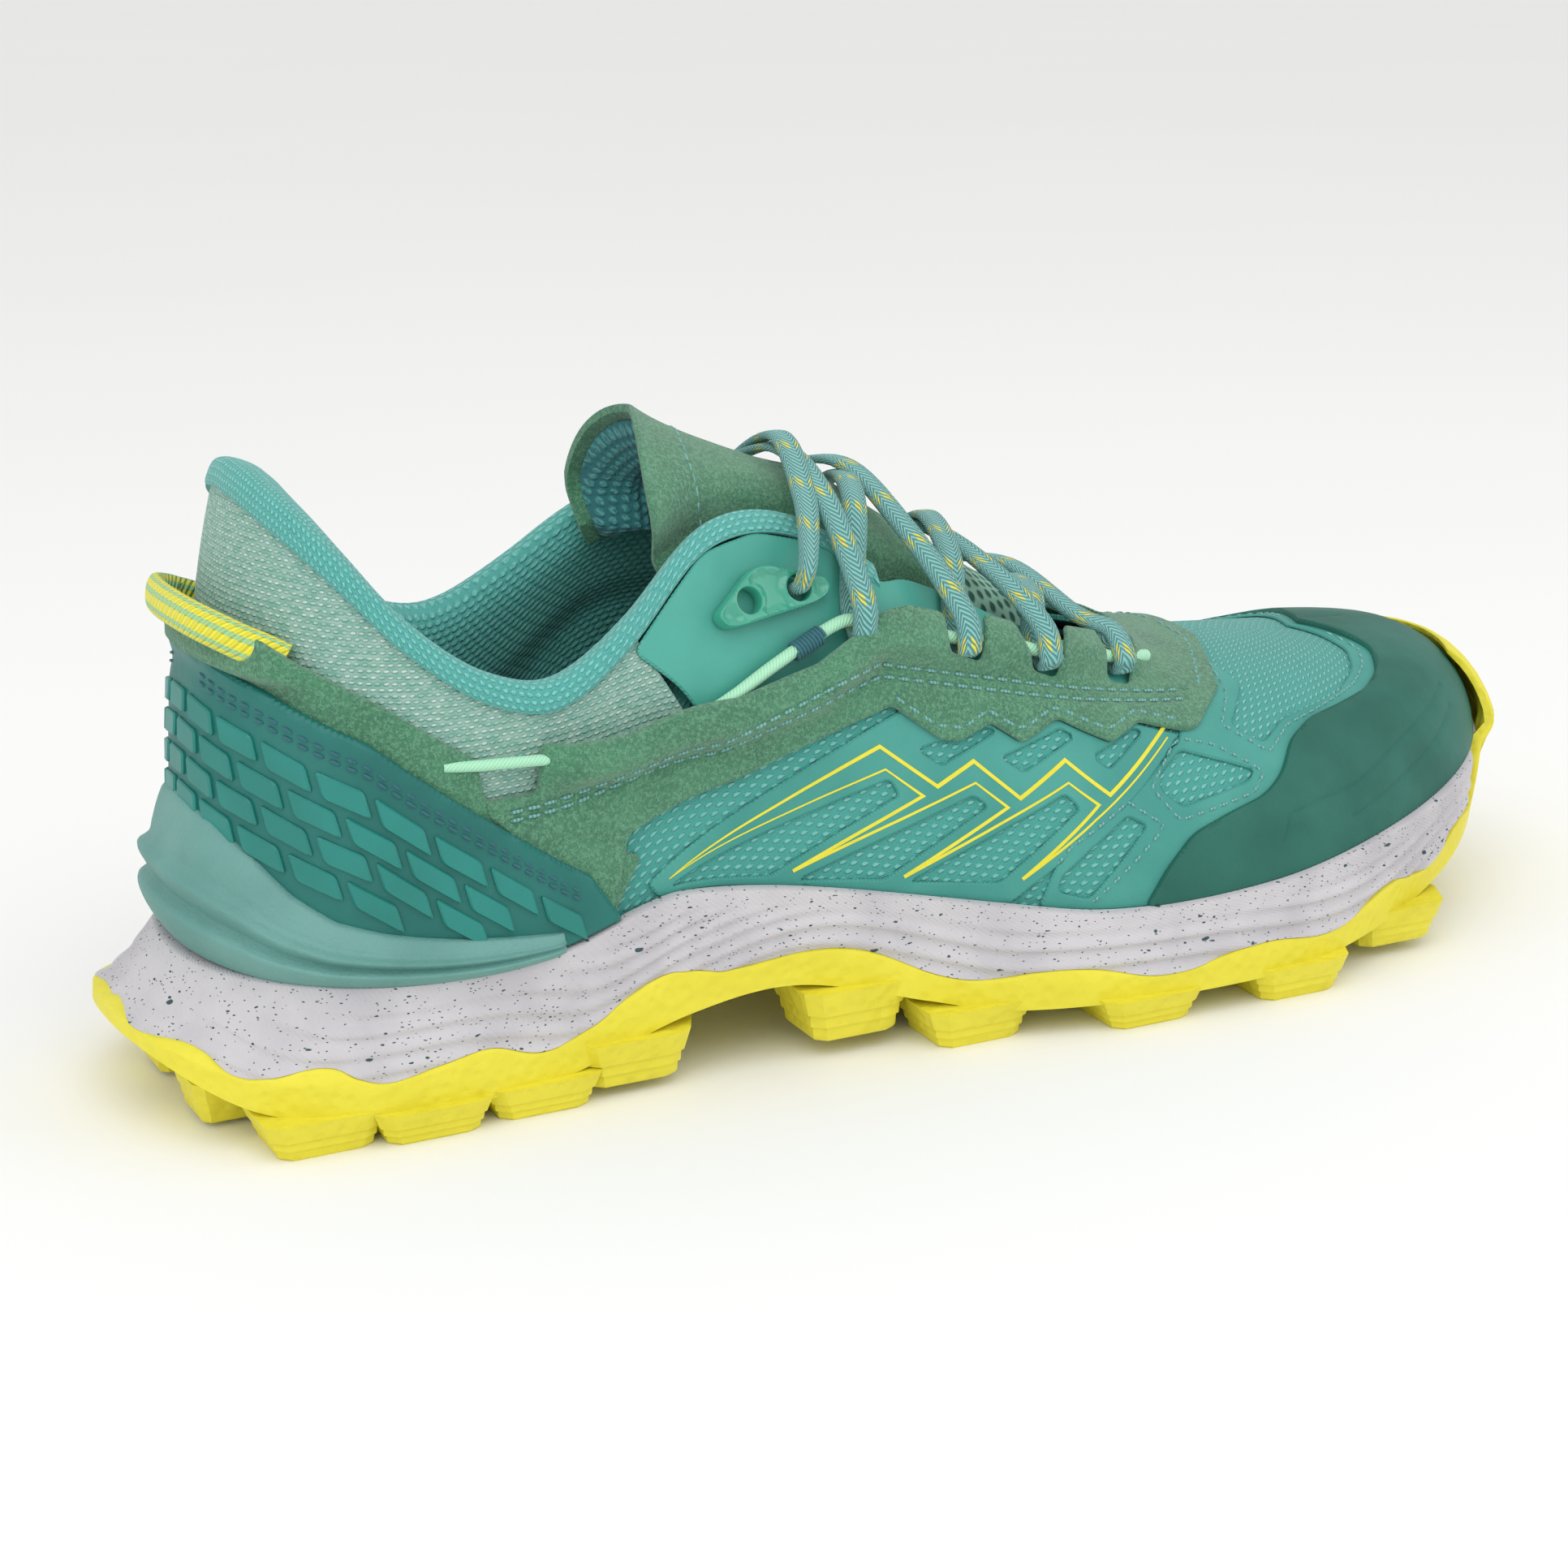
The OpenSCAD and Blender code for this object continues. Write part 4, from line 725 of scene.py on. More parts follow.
# %% [markdown]
# The eyestay is split suede. It is cut with a zigzag foot and notches that show the lace cord, and its top
# edge is folded over that cord, so it stands further off there. Suede edges are cut square and a little soft.

# %% The suede eyestay
STAY_LOW = [(31.6, 5.2), (32.3, 18.7), (37.9, 24.3), (45.6, 38.8), (47.8, 33.8), (48.7, 33.8), (50.3, 37.6),
            (51.7, 34.6),
            (53.6, 39.6), (56.1, 35), (57.9, 38.3), (60.5, 35.1), (61.3, 35.7), (62.4, 39), (64, 43.2),
            (64.2, 46), (66.2, 60),
            (66.3, SPINE_G)]
STAY_TOP = [(61, SPINE_G), (59.9, 55.8), (58.3, 45.8), (57.1, 46.6), (57, 54.5), (55.2, 55.6), (54, 46.8),
            (52.8, 47.4),
            (52.2, 55.2), (50.8, 55.7), (50.1, 47.6), (48.5, 48.4), (48.6, 55.1), (46.8, 55.6),
            (45.5, 54.2), (41.9, 44.4),
            (37.9, 38.4), (32.4, 36.5), (27.7, 39.2), (27.4, 31), (24.4, 31), (24.5, 28.5)]
FOLD_TOP = [[24, 31], [27.4, 31], [27.7, 39], [32.5, 36.5], [38, 38.2], [42, 44], [45.4, 54],
            [59.5, 55.8], [61, 58]]
def over_cord(s, g):
    """How much further off the last the folded edge stands, over the cord"""
    hi = lookup(FOLD_TOP, s)
    rise = np.clip((g - (hi - 9)) / 4, 0, 1)
    rise = rise * rise * (3 - 2 * rise)
    fade = np.clip((s - 27.3) / 2, 0, 1) * np.clip((61.5 - s) / 2.5, 0, 1)
    tuck = np.clip((g - (hi - 1.6)) / 1.6, 0, 1) ** 2
    return fade * (4.2 * rise - 0.7 * tuck)
SEAMS_STAY = [[(25.6, 28.6), (37, 30.9), (45.1, 45.6), (53.9, 45.3), (61.5, 43.3)],
              [(25.6, 27.2), (37, 29.2), (45.2, 43.6), (54, 43.2), (61.3, 41.2)]]
eyestay = patch("suede_eyestay_cut", STAY_LOW + STAY_TOP, SUEDE_D, "suede", (), SEAMS_STAY, 0.3, 1.9, 0.45,
                1.1, lift=over_cord)
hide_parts("suede_eyestay")

# %% The suede heel band
BAND = [(0, 50), (9.7, 46.4), (17.3, 40), (24.2, 26.5), (31.3, 4.5), (33, 14), (27.6, 27), (24.4, 31.3),
        (23.9, 38.4)]
BAND += [(18.1, 48), (12.6, 53.4), (8.5, 58), (7.4, 57.6), (7.2, 53.4), (4, 54.2), (0, 54.6)]
def over_rope(s, g):
    """The bump of suede over each end of the pull loop's rope"""
    a, b = np.clip((14.5 - s) / 4, 0, 1), np.clip((g - 48.5) / 2.5, 0, 1)
    return 3.0 * a * a * (3 - 2 * a) * b * b * (3 - 2 * b)
heel_band = patch("suede_heel_band_cut", BAND, (1.2, 2.6), "suede", step=1.7, edge=0.45, r=0.8,
                  lift=over_rope)
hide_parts("suede_heel_band")

# %% [markdown]
# The heel counter is a moulded plastic shell. Rows of raised bricks run parallel to its slanting top edge,
# under a stitched channel and a lip. Each brick is a small bevelled block set on the shell.

# %% The heel counter's shell
COUNTER = [(0, 52), (2.6, 51.5), (9.7, 48.4), (17.3, 42), (24.6, 27.9), (30.1, 14.9), (31.8, 5.2),
           (28, 3.6), (0, 3)]
def counter_lip(s, g, xy, dist):
    return 0.45 * np.clip(1 - np.abs(dist - 1.3) / 1.3, 0, 1) - 0.4 * np.exp(-((dist - 4.2) / 1.6) ** 2)
counter = patch("heel_counter_shell", COUNTER[::-1], TPU_D, "counter_tpu", step=1.6, edge=0.6, r=1.0,
                relief=counter_lip)

# %% The bricks on the counter
def wrapped(q, d):
    """Flat places on the counter laid on the last, with the medial side at less than 0"""
    return np.where(q[:, :1] < 0, put(station_at(-q[:, 0]), q[:, 1], d, -1), put(station_at(q[:, 0]),
            q[:, 1], d, 1))
TOP_XY = [[along(s), g] for s, g in COUNTER[:7]]
BRICK = ((-3.55, -1.95), (3.55, -1.95), (3.55, 1.95), (-3.55, 1.95))
points, faces, uv = [], [], []
for row in range(11):
    for col in range(14):
        x = col * 8.6 + (row % 2) * 4.3
        quad = [(x + dx - 0.3 * dy * min(1, x / 12), dy) for dx, dy in BRICK]
        corner = np.array([[u, float(lookup(TOP_XY, abs(u))) - 9.6 - row * 5.3 + v] for u, v in quad])
        if corner[:, 0].max() > 117 or corner[:, 1].min() < float(lookup(CRADLE_TOP, station_at(x))) - 3:
            continue
        ringed = []
        for i in range(4):
            a, b, c = corner[i - 1], corner[i], corner[(i + 1) % 4]
            back, on = (a - b) / np.linalg.norm(a - b), (c - b) / np.linalg.norm(c - b)
            ringed += [b + back * 0.7, b + (back + on) * 0.2, b + on * 0.7]
        ringed = np.array(ringed)
        mid = ringed.mean(0)
        for side in ((1, -1) if x > 1 else (1,)):
            base = len(points)
            for shrink, d in ((1.0, 3.9), (1.0, 4.7), (0.9, 4.98)):
                q = (mid + (ringed - mid) * shrink) * [side, 1]
                points += wrapped(q, d).tolist()
                uv += q.tolist()
            for k in range(2):
                faces += [[base + k * 12 + i, base + k * 12 + (i + 1) % 12,
                           base + (k + 1) * 12 + (i + 1) % 12,
                           base + (k + 1) * 12 + i] for i in range(12)]
            faces += [[base + i for i in range(12)][::-1], [base + 24 + i for i in range(12)]]
bricks = solid("heel_counter_bricks", points, faces, "counter_tpu", uv, "root", 30)
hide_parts("counter_overlay")
print("the counter has", len(faces) // 26, "bricks")

# %% [markdown]
# The ankle facing is a smooth coated skin under the laces, with an eyelet plate riveted flat on it. The
# plate is drawn flat in its own frame, with a raised rim round its edge and its two holes.

# %% The facings
FACING = [(33, 48.4), (35.4, 40.4), (37.4, 30), (45, 40), (60, 46), (61, 53), (58.5, 54.6), (53, 58),
          (51.3, 59.4), (50, 61.2),
          (47.5, 62.4), (46, 60.5), (44.6, 64), (43, 66.4), (40, 66.8), (37, 62.4), (34.8, 54.5)]
for side, name in SIDES:
    facing = patch("ankle_facing_skin_" + name, FACING, FILM_D, "facing", step=2.2, edge=0.4, r=2.2,
                   sides=(side,))
    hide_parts("ankle_facing_" + name)

# %% The eyelet plates
PLATE = [(-11.5, -3.6), (-9.5, -5.6), (-7, -5.2), (8.2, 0.2), (11, 2.2), (10.6, 4.6), (-1.5, 6), (-4.5, 5)]
SPARE_HOLE, LACE_HOLE, HOLE_R = (-5.2, -0.6), (4.6, 2.4), 2.3
PLATE_S, PLATE_G = 40.2, 54.5

def rounded(xy, r, fine):
    out, n = [], len(xy)
    for i in range(n):
        out += round_corner(*(np.array(xy[k % n], float) for k in (i - 1, i, i + 1)), r)
    full = []
    for a, b in zip(out, out[1:] + out[:1]):
        k = max(1, math.ceil(np.linalg.norm(b - a) / fine))
        full += [mix(a, b, u) for u in np.arange(k) / k]
    return np.array(full)

def plate_frame(side):
    s = near_s(PLATE_S, side)
    o = skin(s, PLATE_G, 2.8)
    run = unit(skin(s + side, PLATE_G, 0) - skin(s - side, PLATE_G, 0))
    rough = unit(skin(s, PLATE_G + 2, 0) - skin(s, PLATE_G - 2, 0))
    up = unit(rough - run * (rough @ run))
    return o, run, up, np.cross(run, up) * side

def plate_pt(side, x, y, z):
    o, run, up, out = plate_frame(side)
    x, y, z = np.broadcast_arrays(x, y, z)
    return o + x[..., None] * run + y[..., None] * up + z[..., None] * out

turn = np.linspace(0, 2 * np.pi, 40, endpoint=False)
holes = [np.stack([h[0] + HOLE_R * np.cos(turn), h[1] + HOLE_R * np.sin(turn)], -1)
         for h in (SPARE_HOLE, LACE_HOLE)]
xy, tri, dist, near = cut(rounded(PLATE, 1.8, 0.6), holes, (), 0.8, 0.4)
face_z = 2.0 - rolled(dist, 0.4) - 0.7 * np.clip((dist - 0.8) / 0.4, 0, 1)
for side, name in SIDES:
    p, f = close_cut(xy, tri, plate_pt(side, xy[:, 0], xy[:, 1], face_z), plate_pt(side, xy[:, 0],
            xy[:, 1], -0.6),
                     np.zeros(len(xy), bool))
    plate = solid("eyelet_plate_moulding_" + name, p, f if side > 0 else [q[::-1] for q in f],
                  "eyelet_plastic", np.tile(xy, (2, 1)))
    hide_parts("eyelet_plate_" + name)

# %% [markdown]
# A round cord runs under the folded suede and shows in its notches. Its whole length is held by the shoe, so
# it is drawn along the shoe's own stations. Thread is wound round it where it rises over the facing.

# %% The lace cords and their whippings
CORD = [[22, 37.6, 1.9], [24, 37.4, 2.9], [25.5, 37.2, 3.4], [27.5, 36.6, 3.4], [30, 35, 3.6],
        [33, 34, 4.0], [36, 35.5, 4.2],
        [37.8, 38.6, 4.2], [40, 44, 4.1], [43, 51, 4.4], [44.3, 52.3, 5.0], [46.5, 52.2, 5.0],
        [49.5, 51, 5.1], [51.5, 51.5, 5.0],
        [53.6, 50.5, 5.1], [56, 50.8, 5.0], [58, 50, 5.1], [60, 50.5, 5.0]]
for side, name in SIDES:
    line = spline([skin(near_s(s, side), g, d) for s, g, d in CORD], 8)
    thick = np.interp(np.arange(len(line)), [0, 3 * 8, 5 * 8], [1.9, 1.9, 2.3])
    cord = pipe("lace_cord_braid_" + name, line, np.array([0, 0, 1.0]), thick, thick, "mint_cord", 12)
    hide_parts("lace_cord_" + name)
    a, b = (skin(near_s(s, side), g, d) for s, g, d in CORD[8:10])
    run = unit(b - a)
    one = unit(np.cross(run, [0, 0, 1.0]))
    two = np.cross(run, one)
    w = np.linspace(0, 9, 9 * 18 + 1)
    round_it = one * np.cos(2 * np.pi * w)[:, None] + two * np.sin(2 * np.pi * w)[:, None]
    helix = mix(a, b, 0.3) + run * (w[:, None] * 0.68) + 1.5 * round_it
    wound = pipe("cord_whipping_thread_" + name, helix, np.broadcast_to(run, helix.shape), 0.72, 0.72,
                 "thread", 6)
    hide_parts("cord_whipping_" + name)

# %% [markdown]
# The lace is one flat braid, 0.89 m long: down through both plates and criss-cross round the cords between
# them. It follows the solid model's route; each station has an upward direction, so the braid twists as it
# goes round a cord.

# %% The lace's route
LOOPS = [[58, 50], [53.6, 50.5], [49.5, 51], [44.3, 52.3]]
TAIL = [[41.4, 50, -6], [43, 42, -6], [46.5, 36, -5.6], [51, 33, -5.4], [56, 32, -5.4]]
LACE_W, LACE_T, TOP_S, BESIDE, HIGH, LOW = 5.3, 1.6, 42.5, 17, 4.8, 2.6
ROUND_R = 2.6 / 2 + 0.3 + LACE_T / 2

def off_skin(s, g):
    return unit(skin(s, g, 1) - skin(s, g, 0))

def loop(i, side, over, sign):
    """Five stations of lace round the cord, from above to below it or back"""
    s, g = near_s(LOOPS[i][0], side), LOOPS[i][1]
    t, n, o = unit(skin(s, g + 1, 0) - skin(s, g - 1, 0)), off_skin(s, g), skin(s, g, 5.3)
    rings = []
    for a in ((0, 45, 90, 135, 180) if over else (180, 135, 90, 45, 0)):
        r = n * math.cos(math.radians(a)) - t * math.sin(math.radians(a))
        rings.append((o + r * ROUND_R + t * (4.5 if a in (0, 180) else 0), r * sign, LACE_W, LACE_T))
    return rings

def crossing(a, b, side, da, mid, db, sign):
    """Three stations over the tongue, from place a on this side to b on the other"""
    rings = []
    for u, beside, d in ((0.24, BESIDE, da), (0.5, 0, mid), (0.76, BESIDE, db)):
        s = near_s(mix(a, b, u), -side if u > 0.5 else side)
        g = girth(s) - beside
        rings.append((skin(s, g, d), off_skin(s, g) * sign, LACE_W, LACE_T))
    return rings

def through(side, sign):
    """Stations down through the plate's hole and on inside the quarter"""
    o, run, up, out = plate_frame(side)
    x, y = LACE_HOLE
    rings = [(plate_pt(side, x + 0.5, y + 5, 4.6), out * sign, LACE_W * 0.8, LACE_T),
             (plate_pt(side, x, y + 0.6, 3.2), unit(out - up) * sign, 3.6, 2.1), (plate_pt(side, x, y, 0.6),
                     -up * sign, 3.4, 2.1),
             (plate_pt(side, x, y, -5.5), -up * sign, 3.2, 1.9),
             (plate_pt(side, x + 0.5, y - 1.6, -8.8), unit(out - up) * sign, LACE_W * 0.7, LACE_T)]
    for s, g, d in TAIL:
        s = near_s(s, side)
        rings.append((skin(s, g, d), off_skin(s, g) * sign, LACE_W * 0.9, LACE_T))
    return rings

L = [p[0] for p in LOOPS]
route = through(1, 1)[::-1] + crossing(TOP_S, L[3], 1, 4.6, HIGH, 5.2, 1) + loop(3, -1, True, 1)
route += crossing(L[3], L[2], -1, 4.6, HIGH, 5.2, 1) + loop(2, 1, True, -1) + crossing(L[2], L[1], 1, 4.2,
        HIGH, 5.2, 1)
route += loop(1, -1, True, 1) + crossing(L[1], L[0], -1, 4.2, HIGH, 5.2, -1) + loop(0, 1, True, -1)
route += crossing(L[0] + 0.8, L[0] + 0.8, 1, 4.2, LOW, 4.2, 1) + loop(0, -1, False, -1) + crossing(L[0],
        L[1], -1, 5.2, LOW, 4.2, -1)
route += loop(1, 1, False, 1) + crossing(L[1], L[2], 1, 5.2, LOW, 4.2, 1) + loop(2, -1, False, -1)
route += crossing(L[2], L[3], -1, 5.2, LOW, 4.6, -1) + loop(3, 1, False, 1) + crossing(L[3], TOP_S, 1, 5.2,
        LOW, 4.6, 1) + through(-1, 1)
PER_RING = 9
line = spline([r[0] for r in route], PER_RING)
ups = [r[1] for r in route]
for i in range(1, len(ups)):
    if np.dot(ups[i], ups[i - 1]) < 0 and abs(np.dot(ups[i], ups[i - 1])) > 0.3:
        ups[i] = -ups[i]
at = np.linspace(0, len(route) - 1, len(line))
ups = np.stack([np.interp(at, np.arange(len(route)), np.array(ups)[:, k]) for k in range(3)], -1)
widths, thicks = (np.interp(at, np.arange(len(route)), [r[k] for r in route]) for k in (2, 3))
lace = pipe("lace_braid", line, unit(ups), 0.86 * widths, thicks, "lace", 16, 3.0, "root", 13.0)
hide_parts("lace")
print("the lace is", round(float(run_length(line)[-1])), "mm long")

# %% [markdown]
# The tongue hangs between the facings from its root near the toe end. Its rear is a lobe of suede over foam,
# lined with a padded knit; further forward the outside is an open mesh. The foam pad is a crowned closed
# form, sunk along the seam round its edge. It is shaped in code, since it is one gently swelled sheet.

# %% The tongue
GAP_EDGE = [[34, 60], [37, 68.5], [40, 72.5], [43, 71.5], [46, 65.5], [48, 64], [51, 62.5],
            [53, 60], [62, 56]]
DROP = [[0.5, -7], [5.5, -2.2], [9, -0.9], [20, -0.5], [40, -0.5]]
ROOT_DROP = [[55, 0], [60, 1]]
TONGUE_W = [[34, 48], [36.5, 45], [40, 37], [44, 33], [50, 33], [56, 28], [62, 20]]

def tongue_at(S, V, d, narrow=0.0):
    """Point on the tongue at station S and part V of its width, -1 lateral edge to 1 medial edge"""
    flat_s, flat_v, flat_d = (np.broadcast_to(k, np.broadcast(S, V, d).shape).ravel() for k in (S, V, d))
    s = np.where(flat_v <= 0, flat_s, 200 - flat_s)
    top, edge = girth(s), lookup(GAP_EDGE, flat_s)
    w = np.minimum(lookup(TONGUE_W, flat_s), top - edge + 6)
    g = top - np.abs(flat_v) * (w - narrow)
    drop = mix(lookup(DROP, g - edge), -7, lookup(ROOT_DROP, flat_s))
    return skin(s, g, drop + flat_d).reshape(np.broadcast(S, V, d).shape + (3,))

def tongue_grid(s0, s1, n, m, curl):
    v = np.linspace(-1, 1, m)
    S = mix(s0 + curl * np.abs(v)[None] ** 3, s1, np.linspace(0, 1, n)[:, None])
    return S, np.broadcast_to(v, S.shape)

S, V = tongue_grid(34.3, 51.6, 90, 70, 1.6)
near_edge = np.minimum((1 - np.abs(V)) * 30, (S - S[0]) * 2.9)
outer, inner = tongue_at(S, V, 0.5 - rolled(near_edge, 0.5)), tongue_at(S, V, -1.3)
t_suede = slab("tongue_suede_cut", outer, inner, "suede", np.stack([V * 30, S * 2.9], -1), "tongue")
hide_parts("tongue_suede")
S, V = tongue_grid(51.3, 62.6, 50, 50, 0)
t_mesh = slab("tongue_mesh_cloth", tongue_at(S, V, 0.0), tongue_at(S, V, -1.0), "tongue_mesh",
              np.stack([V * 28, S * 2.9], -1), "tongue")
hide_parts("tongue_mesh")

# %% The tongue's padded lining
S, V = tongue_grid(34.75, 62.4, 110, 80, 1.5)
near_edge = np.minimum((1 - np.abs(V)) * 28, (S - S[0]) * 2.9)
swell = np.sqrt(np.clip(near_edge / 5, 0.0, 1)) * (1 - 0.28 * np.exp(-((near_edge - 6.5) / 0.9) ** 2))
outer = tongue_at(S, V, -1.5 - 0.5 * (1 - np.clip(near_edge / 1.5, 0, 1)), 1.5)
inner = tongue_at(S, V, -2.0 - 4.6 * swell, 1.5)
pad = slab("tongue_pad", outer, inner, "tongue_lining", np.stack([V * 28, S * 2.9], -1), "tongue", 60)
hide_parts("tongue_padding", "tongue_lining")

# %% [markdown]
# The collar is foam wrapped in a bumpy knit that rolls over the rim. Its section is a smooth curve up the
# inside, over the foam and down outside; the curve changes along the rim as the foam thins forwards.

# %% The padded collar
FOAM = [[0, 1], [28, 1], [37, 0.35], [46, 0.3]]
collar_s = np.linspace(-46, 46, 190)
outer, inner = [], []
for s in collar_s:
    t, f = float(smooth(TOPLINE, abs(s))), float(lookup(FOAM, abs(s)))
    b = -2.4 - 5.4 * f
    hook = [[0.5, -2.4, 0.5, -1.6], [t - 30, -2.4, t - 30, -1.6], [t - 23, b + 2, t - 23, b + 2.9],
            [t - 16, b, t - 16, b + 0.9],
            [t - 5, b - 0.3, t - 5, b + 0.7], [t + 0.6, b + 1.6, t + 0.2, b + 2.4], [t + 2.3, -1.8,
                    t + 1.2, -1.8],
            [t + 1.6, 1.4, t + 0.6, 0.9], [t - 1.4, 2.2, t - 1.2, 0.9], [t - 2.9, 1.9, t - 2.8, 0.9]]
    row = spline(hook, [2, 5, 6, 6, 6, 6, 6, 5, 4])
    side = 1 if s >= 0 else -1
    outer.append(put(abs(s), row[:, 0], row[:, 1], side))
    inner.append(put(abs(s), row[:, 2], row[:, 3], side))
outer, inner = np.array(outer), np.array(inner)
uv = np.stack(np.broadcast_arrays(collar_s[:, None] * 3.2, run_length(outer[0])[None]), -1)
collar = slab("collar_roll", outer, inner, "collar_lining", uv, "root", 70)
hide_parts("collar_lining", "collar_padding")

# %% [markdown]
# The pull loop is a flattened rope, yellow with paler strands, held in a suede tunnel at each end.

# %% The pull loop
LOOP_PTS = [[11, 53.6, 2.4], [9.4, 54.8, 3.8], [8, 55.6, 5.2], [6.6, 56.4, 6.3], [4.6, 57.2, 7.4],
            [2.4, 57.7, 7.9], [0, 57.8, 8.0]]
path = LOOP_PTS + [[-s, g, d] for s, g, d in LOOP_PTS[-2::-1]]
line = spline([skin(*p) for p in path], 8)
ups = spline([off_skin(p[0], p[1]) for p in path], 8)
pull = pipe("pull_loop_rope", line, unit(ups), 6.2, 3.0, "rope", 24, 2.3, "pull_loop", 16.0)
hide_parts("pull_loop")

# %% [markdown]
# Printed lines are raised a little on the film. A ribbon is offset both ways from its line, mitred at the
# corners and closed, and it can taper. Stitches are short round-ended thread pieces laid end to end, all of
# one seam in one mesh.

# %% The yellow lines
def ribbon(points, wide, d, tall, side):
    """A flat band along stations, as points and faces"""
    xy = np.array([(along(s), g) for s, g in points])
    fine, width = [], []
    for i, (a, b) in enumerate(zip(xy[:-1], xy[1:])):
        k = max(1, math.ceil(np.linalg.norm(b - a) / 1.6))
        fine += [mix(a, b, u) for u in np.arange(k) / k]
        width += [mix(wide[i], wide[i + 1], u) for u in np.arange(k) / k]
    fine, width = np.array(fine + [xy[-1]]), np.array(width + [wide[-1]])
    d1 = unit(np.diff(fine, axis=0))
    before, after = np.concatenate([d1[:1], d1]), np.concatenate([d1, d1[-1:]])
    n1, n2 = np.stack([-before[:, 1], before[:, 0]], -1), np.stack([-after[:, 1], after[:, 0]], -1)
    m = unit(n1 + n2)
    m = m / np.maximum(np.sum(m * n1, -1, keepdims=True), 0.35)
    rows = []
    for off, up in ((-0.5, 0), (-0.42, 1), (0, 1.15), (0.42, 1), (0.5, 0)):
        q = fine + m * (width * off)[:, None]
        rows.append(put(station_at(q[:, 0]), q[:, 1], d + tall * up, side))
    rows = np.array(rows).transpose(1, 0, 2)
    k = rows.shape[0]
    ids = np.arange(k * 5).reshape(k, 5)
    faces = [[ids[i, j], ids[i + 1, j], ids[i + 1, (j + 1) % 5], ids[i, (j + 1) % 5]] for i in range(k - 1)
             for j in range(5)]
    faces += [ids[0].tolist(), ids[-1].tolist()[::-1]]
    return rows.reshape(-1, 3), faces

def gather(parts):
    """Many small pieces as one list of points and one of faces"""
    points, faces, base = [], [], 0
    for p, f in parts:
        points.append(p)
        faces += [[int(k) + base for k in q] for q in f]
        base += len(p)
    return np.concatenate(points), faces

LINES = [([(34.5, 8.4), (44.9, 31.5), (47.5, 25.5), (49.3, 30.6), (51.3, 24.8), (53.6, 32.2), (55.5, 25.9),
           (59.6, 37.5)], [0.35, 1.1] + [1.15] * 6),
         ([(34.5, 8.4), (45.1, 27.6), (46.8, 23.6), (40.6, 8.4)], [0.3, 0.55, 0.9, 1.0]),
         ([(40.6, 8.4), (49.3, 26.8), (50.7, 23), (45.8, 8.8)], [0.9, 0.6, 0.9, 1.0]),
         ([(45.8, 8.8), (53.6, 28.2), (54.9, 24.3), (51.2, 10.4)], [0.9, 0.6, 0.9, 1.0]),
         ([(51.2, 10.4), (54.7, 21.8), (59.3, 34.7)], [0.9, 0.6, 0.5])]
for side, name in SIDES:
    p, f = gather([ribbon(l, 0.68 * np.array(w), 1.72, 0.16, side) for l, w in LINES])
    solid("printed_lines_" + name, p, f, "outsole_rubber", None, "root", 40)

# %% Stitches
def stitch(ends, over, thick, sink=0.02):
    """One round-ended thread piece; over is the same two places, 1 mm further out"""
    n, run = unit(over - ends).mean(0), unit(ends[1] - ends[0])
    w = unit(np.cross(n, run))
    rings = []
    high = 0.06 + sink
    for u, r, up in ((0, 0.35, -0.2), (0.14, 0.9, 0), (0.5, 1, high), (0.86, 0.9, 0), (1, 0.35, -0.2)):
        c = mix(ends[0], ends[1], u) + n * (up - sink)
        turns = np.arange(6) * math.pi / 3
        rings += [c + (w * math.cos(a) + n * math.sin(a)) * thick / 2 * r for a in turns]
    faces = [[k * 6 + i, (k + 1) * 6 + i, (k + 1) * 6 + (i + 1) % 6, k * 6 + (i + 1) % 6]
             for k in range(4) for i in range(6)]
    return np.array(rings), faces + [[5, 4, 3, 2, 1, 0], [24, 25, 26, 27, 28, 29]]

def stitch_line(points, d, side, pitch=3.0, long=2.3, thick=0.62, lift=None):
    xy = np.array([(along(s), g) for s, g in points])
    run = run_length(xy)
    parts = []
    for start in np.arange(0.6, run[-1] - long, pitch):
        q = np.stack([np.interp([start, start + long], run, xy[:, k]) for k in (0, 1)], -1)
        s, g = station_at(q[:, 0]), q[:, 1]
        extra = lift(s, g) if lift else 0
        parts.append(stitch(put(s, g, d + extra, side), put(s, g, d + 1 + extra, side), thick))
    return parts

# %% The seams of the upper
ZIGZAG_SEAM = [(45.6, 40.6), (47.6, 36.2), (48.9, 36.2), (50.2, 39.7), (51.7, 36.8), (53.5, 41.6),
               (56.1, 37.1), (57.8, 40.3), (60.4, 36.9)]
FRONT_SEAMS = [[(52.7, 13.3), (53.5, 17.2), (56.3, 24.4), (58, 19.4), (54.1, 6.4)],
               [(60, 34.1), (59.4, 33.1), (57.6, 26.4), (58.8, 19.8), (63.2, 21.5), (64, 24.1),
                (63.7, 25.9), (61.7, 31.9), (60, 34.1)],
               [(65.1, 53.7), (64.4, 41.9), (62.8, 35.2), (64.9, 27.4), (66.9, 31.2), (74.5, 31.8),
                (77.8, 33.6), (80.3, 36.6), (81.2, 44.6)]]
TOE_SEAM = [(62.6, 43.6), (63, 46.5), (64.9, 58), (65, 70)]
seams = {"eyestay": [], "forefoot": [], "counter": []}
for side in (1, -1):
    for seam in SEAMS_STAY + [ZIGZAG_SEAM, TOE_SEAM]:
        seams["eyestay"] += stitch_line(seam, SUEDE_D[1] - 0.02, side, lift=over_cord)
    for seam in FRONT_SEAMS:
        seams["forefoot"] += stitch_line(seam, FILM_D[1] + 0.05, side, 2.6, 1.9, 0.5)
    for down in (3.6, 5.0):
        seams["counter"] += stitch_line([(s, g - down) for s, g in COUNTER[1:6]], TPU_D[1] - 0.2, side,
                                        2.6, 1.9, 0.6)
